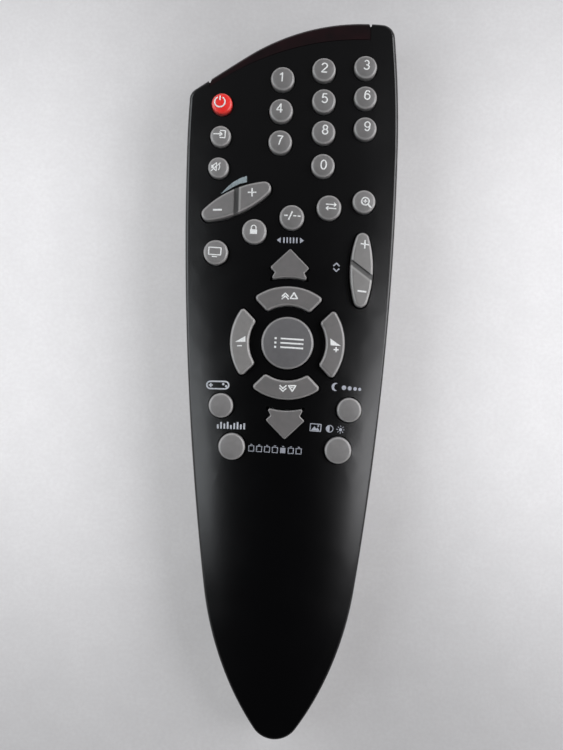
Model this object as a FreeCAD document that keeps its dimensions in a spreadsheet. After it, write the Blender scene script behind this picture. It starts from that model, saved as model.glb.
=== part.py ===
"""Handheld television remote control, slim case with rubber keys, two AAA cells.

Frame: X to the right, +Y towards the infrared end, +Z up through the keys.
The flat bottom lies at z = 0 and the middle of the case lies at x = y = 0.
All sizes are in millimetres.
"""
import FreeCAD, Part
import Sketcher

import math
import os

V = FreeCAD.Vector

# Driving dimensions

SIZES = {
    # Plan outline of the case: tangent arcs, mirrored left and right below the widest line
    "half_width": 30.2,
    "widest_y": 66.6,
    "grip_radius": 940.0,
    "grip_turn": 7.68,
    "tail_radius": 95.0,
    "tail_turn": 34.17,
    "head_side_radius": 300.0,
    "front_radius": 67.0,
    "front_centre_x": 22.5,
    "front_y": 102.9,
    "front_slope": 32.8,
    "left_corner": 3.5,
    "right_corner": 4.0,
    "least_corner": 0.6,
    # Side profile: height of the spine, and how far the top drops from it to the flanks
    "head_spine": 19.0,
    "head_drop": 1.76,
    "keys_y": 40.0,
    "keys_spine": 20.6,
    "keys_drop": 2.88,
    "pad_y": 0.0,
    "pad_spine": 21.0,
    "pad_drop": 4.93,
    "grip_y": -40.0,
    "grip_spine": 20.3,
    "grip_drop": 7.85,
    "bay_y": -76.0,
    "bay_spine": 18.0,
    "bay_drop": 10.15,
    "tail_spine": 14.0,
    "tail_drop": 11.64,
    "end_margin": 1.1,
    "crown_spread": 1.2,
    "keel_start_y": -80.0,
    "keel_end_rise": 4.5,
    # Shells
    "parting_height": 10.0,
    "parting_gap": 0.12,
    "shell_step": 0.2,
    "top_wall": 2.0,
    "side_wall": 2.0,
    "floor": 1.8,
    "top_round": 1.0,
    "bottom_round": 4.0,
    "lip_height": 1.5,
    "lip_thickness": 0.9,
    "lip_play": 0.1,
    # Infrared window
    "window_left_x": -24.0,
    "window_right_x": 21.1,
    "window_seam_left_y": 83.3,
    "window_seam_mid_x": -2.7,
    "window_seam_mid_y": 93.9,
    "window_seam_right_y": 98.0,
    "window_low": 5.0,
    "window_wall": 2.0,
    "window_gap": 0.12,
    "notch_width": 1.5,
    "notch_depth": 1.7,
    "notch_beyond": 1.0,
    # Circuit board and rubber mat
    "board_bottom": 11.0,
    "board_thickness": 1.2,
    "board_inset": 4.0,
    "board_front_back": 2.5,
    "board_tail_y": -23.7,
    "mat_thickness": 1.3,
    "mat_shrink": 0.3,
    # Keys
    "key_rise": 2.3,
    "key_gap": 0.35,
    "key_lift": 1.7,
    "key_dome": 0.45,
    "key_edge": 0.8,
    "skirt_width": 0.6,
    "skirt_thickness": 0.4,
    "skirt_play": 0.15,
    "pill_radius": 1.7,
    "pill_drop": 0.55,
    "rocker_pill_drop": 1.0,
    "small_key_radius": 2.9,
    "digit_radius": 3.3,
    "outer_digit_radius": 3.2,
    "middle_key_radius": 3.45,
    "large_key_radius": 3.75,
    "menu_radius": 7.3,
    # Navigation ring and arrows
    "ring_x": 0.26,
    "ring_y": 11.2,
    "ring_outer": 15.8,
    "ring_inner": 10.45,
    "ring_slot": 3.9,
    "ring_corner": 1.0,
    "ring_side_shift": 0.25,
    "arrow_base_radius": 18.6,
    "arrow_length": 7.95,
    "arrow_shoulder": 5.45,
    "arrow_shoulder_back": 5.3,
    "arrow_waist": 4.05,
    "arrow_waist_back": 6.6,
    "arrow_base": 5.2,
    "arrow_corner": 0.45,
    "arrow_edge": 0.35,
    "scan_shift": -0.3,
    "calendar_shift": 0.3,
    "arrow_pill_share": 0.4,
    # Rockers
    "rocker_end_radius": 1.9,
    "rocker_gap": 0.5,
    "volume_x": -15.3,
    "volume_y": 50.5,
    "volume_turn": 25.5,
    "volume_half_length": 10.5,
    "volume_half_width": 3.3,
    "volume_groove_turn": 0.0,
    "channel_x": 20.4,
    "channel_y": 32.35,
    "channel_turn": 90.0,
    "channel_half_length": 10.4,
    "channel_half_width": 3.2,
    "channel_groove_turn": 55.0,
    "rocker_pill_reach": 6.6,
    "groove_width": 1.3,
    "groove_depth": 0.6,
    # Bosses and screws
    "boss_radius": 2.5,
    "thread_play": 0.05,
    "bore_depth": 4.2,
    "screw_radius": 1.0,
    "screw_head_radius": 2.0,
    "screw_head_height": 1.3,
    "screw_reach": 3.8,
    "post_radius": 1.8,
    "case_screw_y": -87.2,
    "case_screw_radius": 1.2,
    "case_screw_head_radius": 2.4,
    "case_screw_head_height": 1.5,
    "case_screw_seat": 3.2,
    "case_screw_tip": 13.0,
    "case_boss_radius": 3.0,
    "screw_play": 0.1,
    # Battery bay, cells and contacts
    "cell_radius": 5.25,
    "cell_length": 43.5,
    "nub_radius": 2.75,
    "nub_height": 1.0,
    "cell_pitch": 11.2,
    "cell_play": 0.25,
    "bay_head_y": -25.5,
    "bay_wall": 1.2,
    "spring_length": 5.1,
    "spring_radius": 2.6,
    "spring_wire": 0.3,
    "spring_pitch": 1.3,
    "spring_end_gap": 0.05,
    "contact_thickness": 0.4,
    "contact_low": 4.0,
    "contact_high": 10.6,
    "contact_half_width": 4.0,
    "tail_width": 3.0,
    "tail_slot_play": 0.2,
    "tail_low": 10.0,
    "tail_reach": 7.0,
    # Battery door
    "door_half_width": 13.5,
    "door_inset": 4.4,
    "door_tail_overlap": 2.6,
    "door_overlap": 3.5,
    "door_thickness": 1.6,
    "door_corner": 1.5,
    "door_play": 0.2,
    "door_seat_gap": 0.15,
    "ledge_width": 1.7,
    "ledge_thickness": 1.6,
    "tab_x": 11.0,
    "tab_width": 3.0,
    "tab_reach": 2.0,
    "tab_thickness": 1.0,
    "tab_root": 1.2,
    "tab_swing": 0.45,
    "latch_width": 6.0,
    "latch_reach": 1.8,
    "latch_thickness": 1.0,
    "grip_pocket_depth": 0.6,
    "grip_pocket_length": 8.0,
    "grip_pocket_width": 13.0,
    "grip_rib_width": 0.6,
    "grip_rib_pitch": 1.5,
    "grip_rib_height": 0.45,
    "grip_rib_inset": 1.0,
    "grip_rib_root": 0.2,
    # Parts under the board
    "led_x": 8.0,
    "led_tip_y": 98.2,
    "led_radius": 2.5,
    "led_length": 8.6,
    "led_flange_radius": 2.9,
    "led_flange": 1.0,
    "led_height": 8.0,
    "led_leg": 2.0,
    "pin_size": 0.5,
    "pin_pitch": 1.27,
    "chip_x": -2.0,
    "chip_y": 56.0,
    "chip_length": 18.0,
    "chip_width": 7.6,
    "chip_height": 2.3,
    "chip_leg_pitch": 1.27,
    "chip_leg_width": 0.45,
    "chip_leg_length": 1.2,
    "resonator_x": -16.0,
    "resonator_y": 56.0,
    "resonator_length": 7.0,
    "resonator_width": 3.0,
    "resonator_height": 5.5,
    "resonator_lift": 1.0,
    "resonator_pin_pitch": 2.5,
    "capacitor_x": 14.0,
    "capacitor_y": 50.0,
    "capacitor_radius": 3.15,
    "capacitor_height": 7.0,
    "capacitor_groove": 0.3,
    "capacitor_groove_low": 1.5,
    "transistor_x": 17.0,
    "transistor_y": 80.0,
    "transistor_radius": 2.4,
    "transistor_height": 4.6,
    "transistor_lift": 1.5,
    "solder_gap": 0.1,
}

# Places of the single round keys: x, y and the cell that holds the radius
ROUND_KEYS = {
    "power": (-20.2, 77.95, "small_key_radius"),
    "source": (-20.3, 68.75, "small_key_radius"),
    "mute": (-20.6, 59.85, "small_key_radius"),
    "digit_1": (-3.35, 85.2, "digit_radius"),
    "digit_4": (-3.5, 76.2, "digit_radius"),
    "digit_7": (-3.5, 67.35, "digit_radius"),
    "digit_2": (8.15, 88.15, "digit_radius"),
    "digit_5": (8.35, 79.35, "digit_radius"),
    "digit_8": (8.55, 70.5, "digit_radius"),
    "digit_0": (8.65, 61.1, "digit_radius"),
    "digit_3": (19.85, 89.5, "outer_digit_radius"),
    "digit_6": (20.05, 80.9, "outer_digit_radius"),
    "digit_9": (20.25, 72.15, "outer_digit_radius"),
    "swap": (10.7, 49.4, "middle_key_radius"),
    "zoom": (20.5, 51.55, "outer_digit_radius"),
    "dash": (0.4, 46.3, "middle_key_radius"),
    "lock": (-9.95, 42.1, "middle_key_radius"),
    "display": (-20.6, 36.05, "middle_key_radius"),
    "game": (-17.85, -6.8, "middle_key_radius"),
    "sleep": (18.2, -7.0, "middle_key_radius"),
    "sound": (-14.45, -18.2, "large_key_radius"),
    "picture": (15.4, -18.4, "large_key_radius"),
}

# Bosses that hold the board, and posts that it rests on
BOSSES = [(-12.0, 76.6), (21.5, 61.1), (-20.5, 19.6), (21.5, 12.6), (0.0, -20.3)]
POSTS = [(-24.0, 45.0), (24.0, 42.0), (0.0, 11.3), (-15.0, -14.0), (15.0, -14.0), (-3.0, 84.0)]

# Proportions of a pan-head screw, as shares of its head radius, head height or shank radius
HEAD_FACE = 0.75
HEAD_SHOULDER = 0.4
CROSS_DEPTH = 0.6
CROSS_WIDTH = 0.3
CROSS_LENGTH = 1.2
POINT_LENGTH = 0.6
POINT_RADIUS = 0.4

# Small chips under the board: x, y of each
RESISTORS = [(-9.0, 38.0), (-5.0, 38.0), (-1.0, 38.0), (3.0, 38.0)]
RESISTOR_SIZE = (3.2, 1.6, 0.6)
CERAMICS = [(-8.0, 67.0), (-3.0, 67.0), (2.0, 67.0)]
CERAMIC_SIZE = (2.0, 1.25, 0.9)

# Reach of the cutting shapes: their top above the keys, their start below the bottom, and how
# far a shape runs into the one it joins
HIGH = 30.0
BELOW = -1.0
SINK = 1.0

doc = FreeCAD.newDocument("RemoteControl")
nodes = {}


# Named values and the expressions over them

def new_sheet(name, values):
    """A sheet with one named cell for each value."""
    page = doc.addObject("Spreadsheet::Sheet", name)
    for row, (alias, number) in enumerate(values.items(), start=1):
        page.set(f"A{row}", alias)
        page.set(f"B{row}", str(number))
        page.setAlias(f"B{row}", alias)
    doc.recompute()
    return page


def size(name):
    return sheet.get(name)


def number(expression):
    """The value of an expression over the sheet."""
    return float(sheet.evalExpression(str(expression)))


def cell(name):
    return f"Sizes.{name}"


# Small document helpers

def bind(thing, **expressions):
    """Ties properties to expressions; double underscores stand for dots."""
    for name, expression in expressions.items():
        thing.setExpression(name.replace("__", "."), str(expression))


def place(thing, x=0, y=0, z=0):
    bind(thing, Placement__Base__x=x, Placement__Base__y=y, Placement__Base__z=z)


def add(kind, label):
    thing = doc.addObject(kind, label)
    thing.Label = label
    return thing


def box(label, x_range, y_range, z_range):
    """A block between pairs of expressions along X, Y and Z."""
    block = add("Part::Box", label)
    (x_low, x_high), (y_low, y_high), (z_low, z_high) = x_range, y_range, z_range
    bind(block, Length=f"({x_high}) - ({x_low})", Width=f"({y_high}) - ({y_low})",
         Height=f"({z_high}) - ({z_low})")
    place(block, x_low, y_low, z_low)
    return block


def centred(middle, width):
    """The range of a width about its middle."""
    return f"{middle} - ({width}) / 2", f"{middle} + ({width}) / 2"


def cylinder(label, x, y, z_range, radius):
    """An upright cylinder between two heights."""
    rod = add("Part::Cylinder", label)
    bind(rod, Radius=radius, Height=f"({z_range[1]}) - ({z_range[0]})")
    place(rod, x, y, z_range[0])
    return rod


def feature(label, shape):
    thing = add("Part::Feature", label)
    thing.Shape = shape
    return thing


def fused(label, members):
    thing = add("Part::MultiFuse", label)
    thing.Shapes = members
    return thing


def cut(label, base, tool):
    thing = add("Part::Cut", label)
    thing.Base = base
    thing.Tool = tool
    return thing


def common(label, base, tool):
    thing = add("Part::Common", label)
    thing.Base = base
    thing.Tool = tool
    return thing


def group(label, members):
    """Separate solids that share one node."""
    thing = add("Part::Compound", label)
    thing.Links = members
    return thing


def keep(thing):
    """Registers a finished sub-part under its label."""
    nodes[thing.Label] = thing
    return thing


def profile(body, corners, dome=None):
    """A flat profile in the XZ plane through corners given as pairs of expressions.

    With dome, the edge from the last corner but one to the last is an arc about the axis,
    so that the last corner lies on the axis and higher by the dome.
    """
    sketch = body.newObject("Sketcher::SketchObject", body.Name + "_profile")
    plane = [f for f in body.Origin.OriginFeatures if f.Role == "XZ_Plane"][0]
    sketch.AttachmentSupport = [(plane, "")]
    sketch.MapMode = "FlatFace"
    points = [V(number(x), number(y), 0) for x, y in corners]
    count = len(points)
    for i, start in enumerate(points):
        end = points[(i + 1) % count]
        if dome and i == count - 2:
            radius = (start.x ** 2 + number(dome) ** 2) / (2 * number(dome))
            middle = V(0, end.y - radius, 0)
            start_angle = math.atan2(start.y - middle.y, start.x)
            circle = Part.Circle(middle, V(0, 0, 1), radius)
            sketch.addGeometry(Part.ArcOfCircle(circle, start_angle, math.pi / 2))
        else:
            sketch.addGeometry(Part.LineSegment(start, end))
    tie = Sketcher.Constraint
    for i in range(count):
        sketch.addConstraint(tie("Coincident", i, 2, (i + 1) % count, 1))
    if dome:
        sketch.addConstraint(tie("PointOnObject", count - 2, 3, -2))
    for i, (x, y) in enumerate(corners):
        for kind, expression in (("DistanceX", x), ("DistanceY", y)):
            index = sketch.addConstraint(tie(kind, i, 1, number(expression)))
            sketch.setExpression(f"Constraints[{index}]", str(expression))
    return sketch


def turned(label, corners, dome=None):
    """A solid turned about its own Z axis from a profile of corners."""
    body = add("PartDesign::Body", label)
    sketch = profile(body, corners, dome)
    doc.recompute()
    spin = body.newObject("PartDesign::Revolution", body.Name + "_turned")
    spin.Profile = sketch
    spin.ReferenceAxis = (sketch, ["V_Axis"])
    spin.Angle = 360
    doc.recompute()
    return body


def ring_edge(shape, height):
    """The names of the round edges that lie flat at one height."""
    names = []
    for index, edge in enumerate(shape.Edges, start=1):
        bounds = edge.BoundBox
        if abs(bounds.ZMin - height) < 1e-4 and abs(bounds.ZMax - height) < 1e-4:
            names.append(f"Edge{index}")
    return names


# Plan outlines

def polar(centre, radius, angle):
    """The point at an angle in degrees from the X axis, about a centre."""
    turn = math.radians(angle)
    return centre + V(radius * math.cos(turn), radius * math.sin(turn), 0)


def bearing(centre, point):
    return math.degrees(math.atan2(point.y - centre.y, point.x - centre.x))


def arc(centre, radius, start, end):
    points = [polar(centre, radius, a) for a in (start, (start + end) / 2, end)]
    return Part.Arc(*points).toShape()


def circle_crossing(first, first_radius, second, second_radius):
    """The crossing of two circles that lies on the right, seen from the first to the second."""
    gap = second - first
    along = (first_radius ** 2 - second_radius ** 2 + gap.Length ** 2) / (2 * gap.Length)
    across = math.sqrt(first_radius ** 2 - along ** 2)
    unit = gap / gap.Length
    return first + unit * along + V(unit.y, -unit.x, 0) * across


def case_outline(inset):
    """The plan face of the case, drawn in by an inset from its silhouette."""
    side = size("half_width")
    wide = size("widest_y")
    grip, tail, head = size("grip_radius"), size("tail_radius"), size("head_side_radius")
    grip_turn = size("grip_turn")
    tail_turn = size("tail_turn")
    front = size("front_radius")
    slope = size("front_slope")

    # Right flank, from the widest line down to the tail tip
    grip_centre = V(side - grip, wide, 0)
    grip_end = polar(grip_centre, grip, -grip_turn)
    tail_centre = polar(grip_end, -tail, -grip_turn)
    tail_end = polar(tail_centre, tail, -tail_turn)
    tip = tail_end.x / math.cos(math.radians(tail_turn))
    tip_centre = V(0, tail_end.y + tip * math.sin(math.radians(tail_turn)), 0)

    # Head: a corner between the right side and the front arc, then a straight slope
    head_centre = V(side - head, wide, 0)
    front_centre = V(size("front_centre_x"), size("front_y") - front, 0)
    least = size("least_corner")
    corner = max(size("right_corner") - inset, least)
    corner_centre = circle_crossing(front_centre, front - inset - corner, head_centre, head - inset - corner)
    if corner_centre.y < wide:
        corner_centre = circle_crossing(head_centre, head - inset - corner, front_centre,
                                        front - inset - corner)
    side_angle = bearing(head_centre, corner_centre)
    front_angle = bearing(front_centre, corner_centre)
    slope_angle = 90 + slope
    slope_start = polar(front_centre, front - inset, slope_angle)

    # Left corner, where the slope meets the left side
    left_head_centre = V(head - side, wide, 0)
    left_corner = max(size("left_corner") - inset, least)
    path_start = polar(front_centre, front - inset - left_corner, slope_angle)
    path = V(-math.cos(math.radians(slope)), -math.sin(math.radians(slope)), 0)
    reach = head - inset - left_corner
    offset = path_start - left_head_centre
    along = offset.dot(path)
    travel = -along + math.sqrt(along ** 2 - offset.Length ** 2 + reach ** 2)
    left_centre = path_start + path * travel
    left_angle = bearing(left_head_centre, left_centre) % 360

    def mirrored(centre):
        return V(-centre.x, centre.y, 0)

    edges = [
        arc(tip_centre, tip - inset, -180 + tail_turn, -tail_turn),
        arc(tail_centre, tail - inset, -tail_turn, -grip_turn),
        arc(grip_centre, grip - inset, -grip_turn, 0),
        arc(head_centre, head - inset, 0, side_angle),
        arc(corner_centre, corner, side_angle, front_angle),
        arc(front_centre, front - inset, front_angle, slope_angle),
        Part.LineSegment(slope_start, polar(left_centre, left_corner, slope_angle)).toShape(),
        arc(left_centre, left_corner, slope_angle, left_angle),
        arc(left_head_centre, head - inset, left_angle, 180),
        arc(mirrored(grip_centre), grip - inset, 180, 180 + grip_turn),
        arc(mirrored(tail_centre), tail - inset, 180 + grip_turn, 180 + tail_turn),
    ]
    return Part.Face(Part.Wire(edges))


def case_ends():
    """Two places along Y, a little beyond the tail tip and the front of the case."""
    bounds = case_outline(0).BoundBox
    return bounds.YMin - size("end_margin"), bounds.YMax + size("end_margin")


def prism(face, low, high, corner=0.0):
    """A face raised into a solid between two heights, with its upright corners rounded."""
    solid = face.extrude(V(0, 0, high - low))
    solid.translate(V(0, 0, low))
    if corner:
        upright = [e for e in solid.Edges if max(e.BoundBox.XLength, e.BoundBox.YLength) < 0.001]
        solid = solid.makeFillet(corner, upright)
    return solid


def crown_body(drop):
    """Everything under the crowned top, lowered by a drop (raised where it is negative)."""
    side = size("half_width")
    reach = side * size("crown_spread")
    tail_end, head_end = case_ends()
    places = {"head": head_end, "tail": tail_end}
    sections = []
    for station in ("head", "keys", "pad", "grip", "bay", "tail"):
        y = places[station] if station in places else size(station + "_y")
        fall = size(station + "_drop")
        top = size(station + "_spine") - drop
        radius = (side ** 2 + fall ** 2) / (2 * fall) - drop
        edge = top - radius + math.sqrt(radius ** 2 - reach ** 2)
        sections.append((y, top, edge))
    foot = min(edge for y, top, edge in sections) - SINK
    wires = []
    for y, top, edge in sections:
        left, right = V(-reach, y, edge), V(reach, y, edge)
        roof = Part.Arc(left, V(0, y, top), right).toShape()
        rest = Part.makePolygon([right, V(reach, y, foot), V(-reach, y, foot), left])
        wires.append(Part.Wire([roof] + rest.Edges))
    return Part.makeLoft(wires, True, False)


def keel_body(rise):
    """Everything above the flat bottom and its rising tail, lifted by a rise."""
    tail_end, head_end = case_ends()
    start = size("keel_start_y")
    run = start - tail_end
    end = size("keel_end_rise")
    radius = (run ** 2 + end ** 2) / (2 * end)
    bend = math.asin(run / radius) / 2
    middle = V(0, start - radius * math.sin(bend), rise + radius * (1 - math.cos(bend)))
    far = V(0, start - run, rise + end)
    near = V(0, start, rise)
    front = V(0, head_end + SINK, rise)
    tall = HIGH + SINK
    outline = [
        Part.LineSegment(front, near).toShape(),
        Part.Arc(near, middle, far).toShape(),
        Part.LineSegment(far, V(0, far.y, tall)).toShape(),
        Part.LineSegment(V(0, far.y, tall), V(0, front.y, tall)).toShape(),
        Part.LineSegment(V(0, front.y, tall), front).toShape(),
    ]
    reach = size("half_width") * size("crown_spread") + SINK
    solid = Part.Face(Part.Wire(outline)).extrude(V(2 * reach, 0, 0))
    solid.translate(V(-reach, 0, 0))
    return solid


def rim_edges(shape, outline, low, high):
    """The edges that run round an outline between two heights, not the upright ones."""
    found = []
    for edge in shape.Edges:
        bounds = edge.BoundBox
        if max(bounds.XLength, bounds.YLength) < 0.01:
            continue
        middle = edge.valueAt((edge.FirstParameter + edge.LastParameter) / 2)
        on_plan = Part.Vertex(middle.x, middle.y, 0)
        if low < middle.z < high and outline.OuterWire.distToShape(on_plan)[0] < 0.01:
            found.append(edge)
    return found


def sector_face(grow):
    """One key of the navigation ring: the quarter that lies towards +Y."""
    inner = size("ring_inner") - grow
    outer = size("ring_outer") + grow
    half_slot = size("ring_slot") / 2 - grow
    inner_angle = 45 + math.degrees(math.asin(half_slot / inner))
    outer_angle = 45 + math.degrees(math.asin(half_slot / outer))
    origin = V(0, 0, 0)
    edges = [
        arc(origin, outer, outer_angle, 180 - outer_angle),
        Part.LineSegment(polar(origin, outer, 180 - outer_angle),
                         polar(origin, inner, 180 - inner_angle)).toShape(),
        arc(origin, inner, 180 - inner_angle, inner_angle),
        Part.LineSegment(polar(origin, inner, inner_angle), polar(origin, outer, outer_angle)).toShape(),
    ]
    return Part.Face(Part.Wire(edges))


def line_crossing(first, second):
    """Where two lines cross, each given by two of its points."""
    start, along = first[0], first[1] - first[0]
    other, across = second[0], second[1] - second[0]
    gap = other - start
    share = (gap.x * across.y - gap.y * across.x) / (along.x * across.y - along.y * across.x)
    return start + along * share


def moved_right(start, end, distance):
    """A line moved to the right of its direction."""
    unit = (end - start) / (end - start).Length
    aside = V(unit.y, -unit.x, 0) * distance
    return start + aside, end + aside


def arrow_face(grow):
    """The arrow key beyond the ring, pointing towards +Y; its base follows the ring."""
    middle = V(0, 0, 0)
    base_radius = size("arrow_base_radius")
    base = size("arrow_base")
    tip = base_radius + size("arrow_length")
    right_base = polar(middle, base_radius, math.degrees(math.acos(base / base_radius)))
    waist = V(size("arrow_waist"), tip - size("arrow_waist_back"), 0)
    shoulder = V(size("arrow_shoulder"), tip - size("arrow_shoulder_back"), 0)
    corners = [right_base, waist, shoulder, V(0, tip, 0)]
    sides = [moved_right(start, end, grow) for start, end in zip(corners, corners[1:])]
    axis = (middle, V(0, tip, 0))

    # The base corner lies where the lowest side meets the base arc
    low, high = sides[0]
    along = (high - low) / (high - low).Length
    base_grown = base_radius - grow
    reach = low.dot(along)
    right_base = low + along * (-reach + math.sqrt(reach ** 2 - low.Length ** 2 + base_grown ** 2))
    right = [right_base, line_crossing(sides[0], sides[1]), line_crossing(sides[1], sides[2])]
    path = right + [line_crossing(sides[2], axis)] + [V(-p.x, p.y, 0) for p in reversed(right)]
    base_angle = bearing(middle, right_base)
    edges = Part.makePolygon(path).Edges
    edges.append(arc(middle, base_grown, 180 - base_angle, base_angle))
    return Part.Face(Part.Wire(edges))


def lens_face(half_length, half_width, grow):
    """A rocker's outline along X: two long arcs between two small round ends."""
    end = size("rocker_end_radius")
    flat = half_length - end
    side = (flat ** 2 + half_width ** 2 - end ** 2) / (2 * (half_width - end))
    low_centre = V(0, half_width - side, 0)
    high_centre = V(0, side - half_width, 0)
    right_centre = V(flat, 0, 0)
    left_centre = V(-flat, 0, 0)
    turn = bearing(low_centre, right_centre)
    edges = [
        arc(low_centre, side + grow, turn, 180 - turn),
        arc(left_centre, end + grow, 180 - turn, 180 + turn),
        arc(high_centre, side + grow, 180 + turn, 360 - turn),
        arc(right_centre, end + grow, -turn, turn),
    ]
    return Part.Face(Part.Wire(edges))


def turned_face(face, angle, x, y):
    moved = face.copy()
    moved.rotate(V(0, 0, 0), V(0, 0, 1), angle)
    moved.translate(V(x, y, 0))
    return moved


sheet = new_sheet("Sizes", SIZES)

BOARD_TOP = f"({cell('board_bottom')} + {cell('board_thickness')})"
MAT_TOP = f"({BOARD_TOP} + {cell('mat_thickness')})"
board_top = number(BOARD_TOP)
mat_top = number(MAT_TOP)
tail_limit, head_limit = case_ends()


# Case masters

upper_plan = case_outline(size("shell_step"))
upper_sharp = prism(upper_plan, 0, HIGH).common(crown_body(0))
upper_rim = rim_edges(upper_sharp, upper_plan, size("parting_height"), HIGH)
upper_blank = upper_sharp.makeFillet(size("top_round"), upper_rim)

lower_plan = case_outline(0)
lower_top = size("parting_height") - size("parting_gap") / 2
lower_sharp = prism(lower_plan, BELOW, lower_top).common(keel_body(0))
lower_rim = rim_edges(lower_sharp, lower_plan, BELOW, lower_top - SINK)
lower_blank = lower_sharp.makeFillet(size("bottom_round"), lower_rim)

wall_inset = size("shell_step") + size("side_wall")
cavity = prism(case_outline(wall_inset), 0, HIGH).common(crown_body(size("top_wall")))
cavity = cavity.common(keel_body(size("floor")))


def top_at(x, y):
    """The height of the case's top face at a place."""
    needle = Part.makeLine(V(x, y, size("parting_height")), V(x, y, HIGH))
    return upper_blank.common(needle).BoundBox.ZMax


def window_region(grow):
    """The solid band at the head that the infrared window takes up, grown by a gap."""
    left = size("window_left_x") - grow
    right = size("window_right_x") + grow
    seam_left = V(left, size("window_seam_left_y") - grow, 0)
    seam_middle = V(size("window_seam_mid_x"), size("window_seam_mid_y") - grow, 0)
    seam_right = V(right, size("window_seam_right_y") - grow, 0)
    beyond = head_limit
    edges = [Part.Arc(seam_left, seam_middle, seam_right).toShape()]
    edges += Part.makePolygon([seam_right, V(right, beyond, 0), V(left, beyond, 0), seam_left]).Edges
    return prism(Part.Face(Part.Wire(edges)), size("window_low") - grow, HIGH)


def notch(x):
    """A V notch through the front wall, its point inwards, at one end of the window."""
    probe = Part.makeLine(V(x, size("widest_y"), 0), V(x, head_limit, 0))
    edge_y = upper_plan.common(probe).BoundBox.YMax
    half = size("notch_width") / 2
    point = V(x, edge_y - size("notch_depth"), 0)
    mouth = edge_y + size("notch_beyond")
    corners = [point, V(x + half, mouth, 0), V(x - half, mouth, 0), point]
    return prism(Part.Face(Part.makePolygon(corners)), size("window_low"), HIGH)


notches = [notch(size("window_left_x")), notch(size("window_right_x"))]

# Key table: name to centre and radius, each tied to its own cells

key_cells = {}
for name, (x, y, radius) in ROUND_KEYS.items():
    key_cells[name] = (x, y, cell(radius))
key_cells["menu"] = (cell("ring_x"), cell("ring_y"), cell("menu_radius"))

heights = {}
for name, (x, y, radius) in key_cells.items():
    heights[name] = round(top_at(number(x), number(y)) - board_top + size("key_rise"), 3)
rises = new_sheet("Rises", {f"rise_{name}": rise for name, rise in heights.items()})


# Round keys

KEY_LIFT = cell("key_lift")
SKIRT_TOP = f"({KEY_LIFT} + {cell('skirt_thickness')})"


def pill(label, x, y, drop):
    """The carbon contact under a key, as a flat disc hanging from its underside."""
    low = f"({BOARD_TOP} + {KEY_LIFT} - {drop})"
    return cylinder(label, x, y, (low, f"({BOARD_TOP} + {KEY_LIFT})"), cell("pill_radius"))


def round_key(name, x, y, radius):
    """A round rubber key: skirt, column, domed top with a soft edge, and its contact."""
    rise = f"Rises.rise_{name}"
    skirt = f"({radius} + {cell('skirt_width')})"
    dome = cell("key_dome")
    corners = [
        ("0", KEY_LIFT), (skirt, KEY_LIFT), (skirt, SKIRT_TOP), (radius, SKIRT_TOP),
        (radius, f"({rise} - {dome})"), ("0", rise),
    ]
    body = turned(f"{name}_column", corners, dome)
    solid = body.Tip
    edge = body.newObject("PartDesign::Fillet", f"{name}_soft_edge")
    edge.Base = (solid, ring_edge(solid.Shape, heights[name] - size("key_dome")))
    bind(edge, Radius=cell("key_edge"))
    place(body, x, y, BOARD_TOP)
    contact = pill(f"{name}_contact", x, y, cell("pill_drop"))
    keep(group(f"key_{name}", [body, contact]))


case_holes = []
mat_holes = []
for name, (x, y, radius) in key_cells.items():
    round_key(name, x, y, radius)
    case_holes.append(cylinder(f"{name}_hole", x, y, (MAT_TOP, HIGH), f"({radius} + {cell('key_gap')})"))
    opening = f"({radius} + {cell('skirt_width')} + {cell('skirt_play')})"
    mat_holes.append(cylinder(f"{name}_opening", x, y, (cell("board_bottom"), HIGH), opening))


# Shaped keys: ring, arrows and rockers

def soft_top(solid, above, radius):
    """Rounds the edges of a key's top face, which are those above a height that don't stand upright."""
    edges = [e for e in solid.Edges
             if e.BoundBox.ZMin > above and max(e.BoundBox.XLength, e.BoundBox.YLength) > 0.01]
    return solid.makeFillet(radius, edges)


def shaped_key(outline, corner, edge, groove=None):
    """A key with a plan outline of its own, whose top follows the case's crown.

    The outline is a function of growth that returns the plan face in place.
    """
    lift = board_top + size("key_lift")
    roof = crown_body(-size("key_rise"))
    column = prism(outline(0), lift, HIGH, corner).common(roof)
    column = soft_top(column, lift + size("skirt_thickness"), edge)
    if groove:
        column = column.cut(groove)
    skirt = prism(outline(size("skirt_width")), lift, lift + size("skirt_thickness"), corner)
    return column.fuse(skirt).removeSplitter()


def shaped_holes(name, outline, corner, gap):
    """The case hole and the mat opening round a shaped key."""
    hole = prism(outline(gap), mat_top, HIGH, corner)
    case_holes.append(feature(f"{name}_hole", hole))
    opening = prism(outline(size("skirt_width") + size("skirt_play")), size("board_bottom"), HIGH, corner)
    mat_holes.append(feature(f"{name}_opening", opening))


def single_pill_key(name, outline, corner, edge, spot):
    column = feature(f"{name}_column", shaped_key(outline, corner, edge))
    contact = pill(f"{name}_contact", spot.x, spot.y, cell("pill_drop"))
    keep(group(f"key_{name}", [column, contact]))
    shaped_holes(name, outline, corner, size("key_gap"))


ring_middle = V(size("ring_x"), size("ring_y"), 0)
ring_pill_radius = (size("ring_inner") + size("ring_outer")) / 2
for name, turn, aside in (("up", 0, 0), ("left", 90, -1), ("down", 180, 0), ("right", 270, 1)):
    middle = V(ring_middle.x + aside * size("ring_side_shift"), ring_middle.y, 0)

    def quarter(grow, turn=turn, middle=middle):
        return turned_face(sector_face(grow), turn, middle.x, middle.y)

    spot = polar(middle, ring_pill_radius, turn + 90)
    single_pill_key(name, quarter, size("ring_corner"), size("key_edge"), spot)

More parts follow.
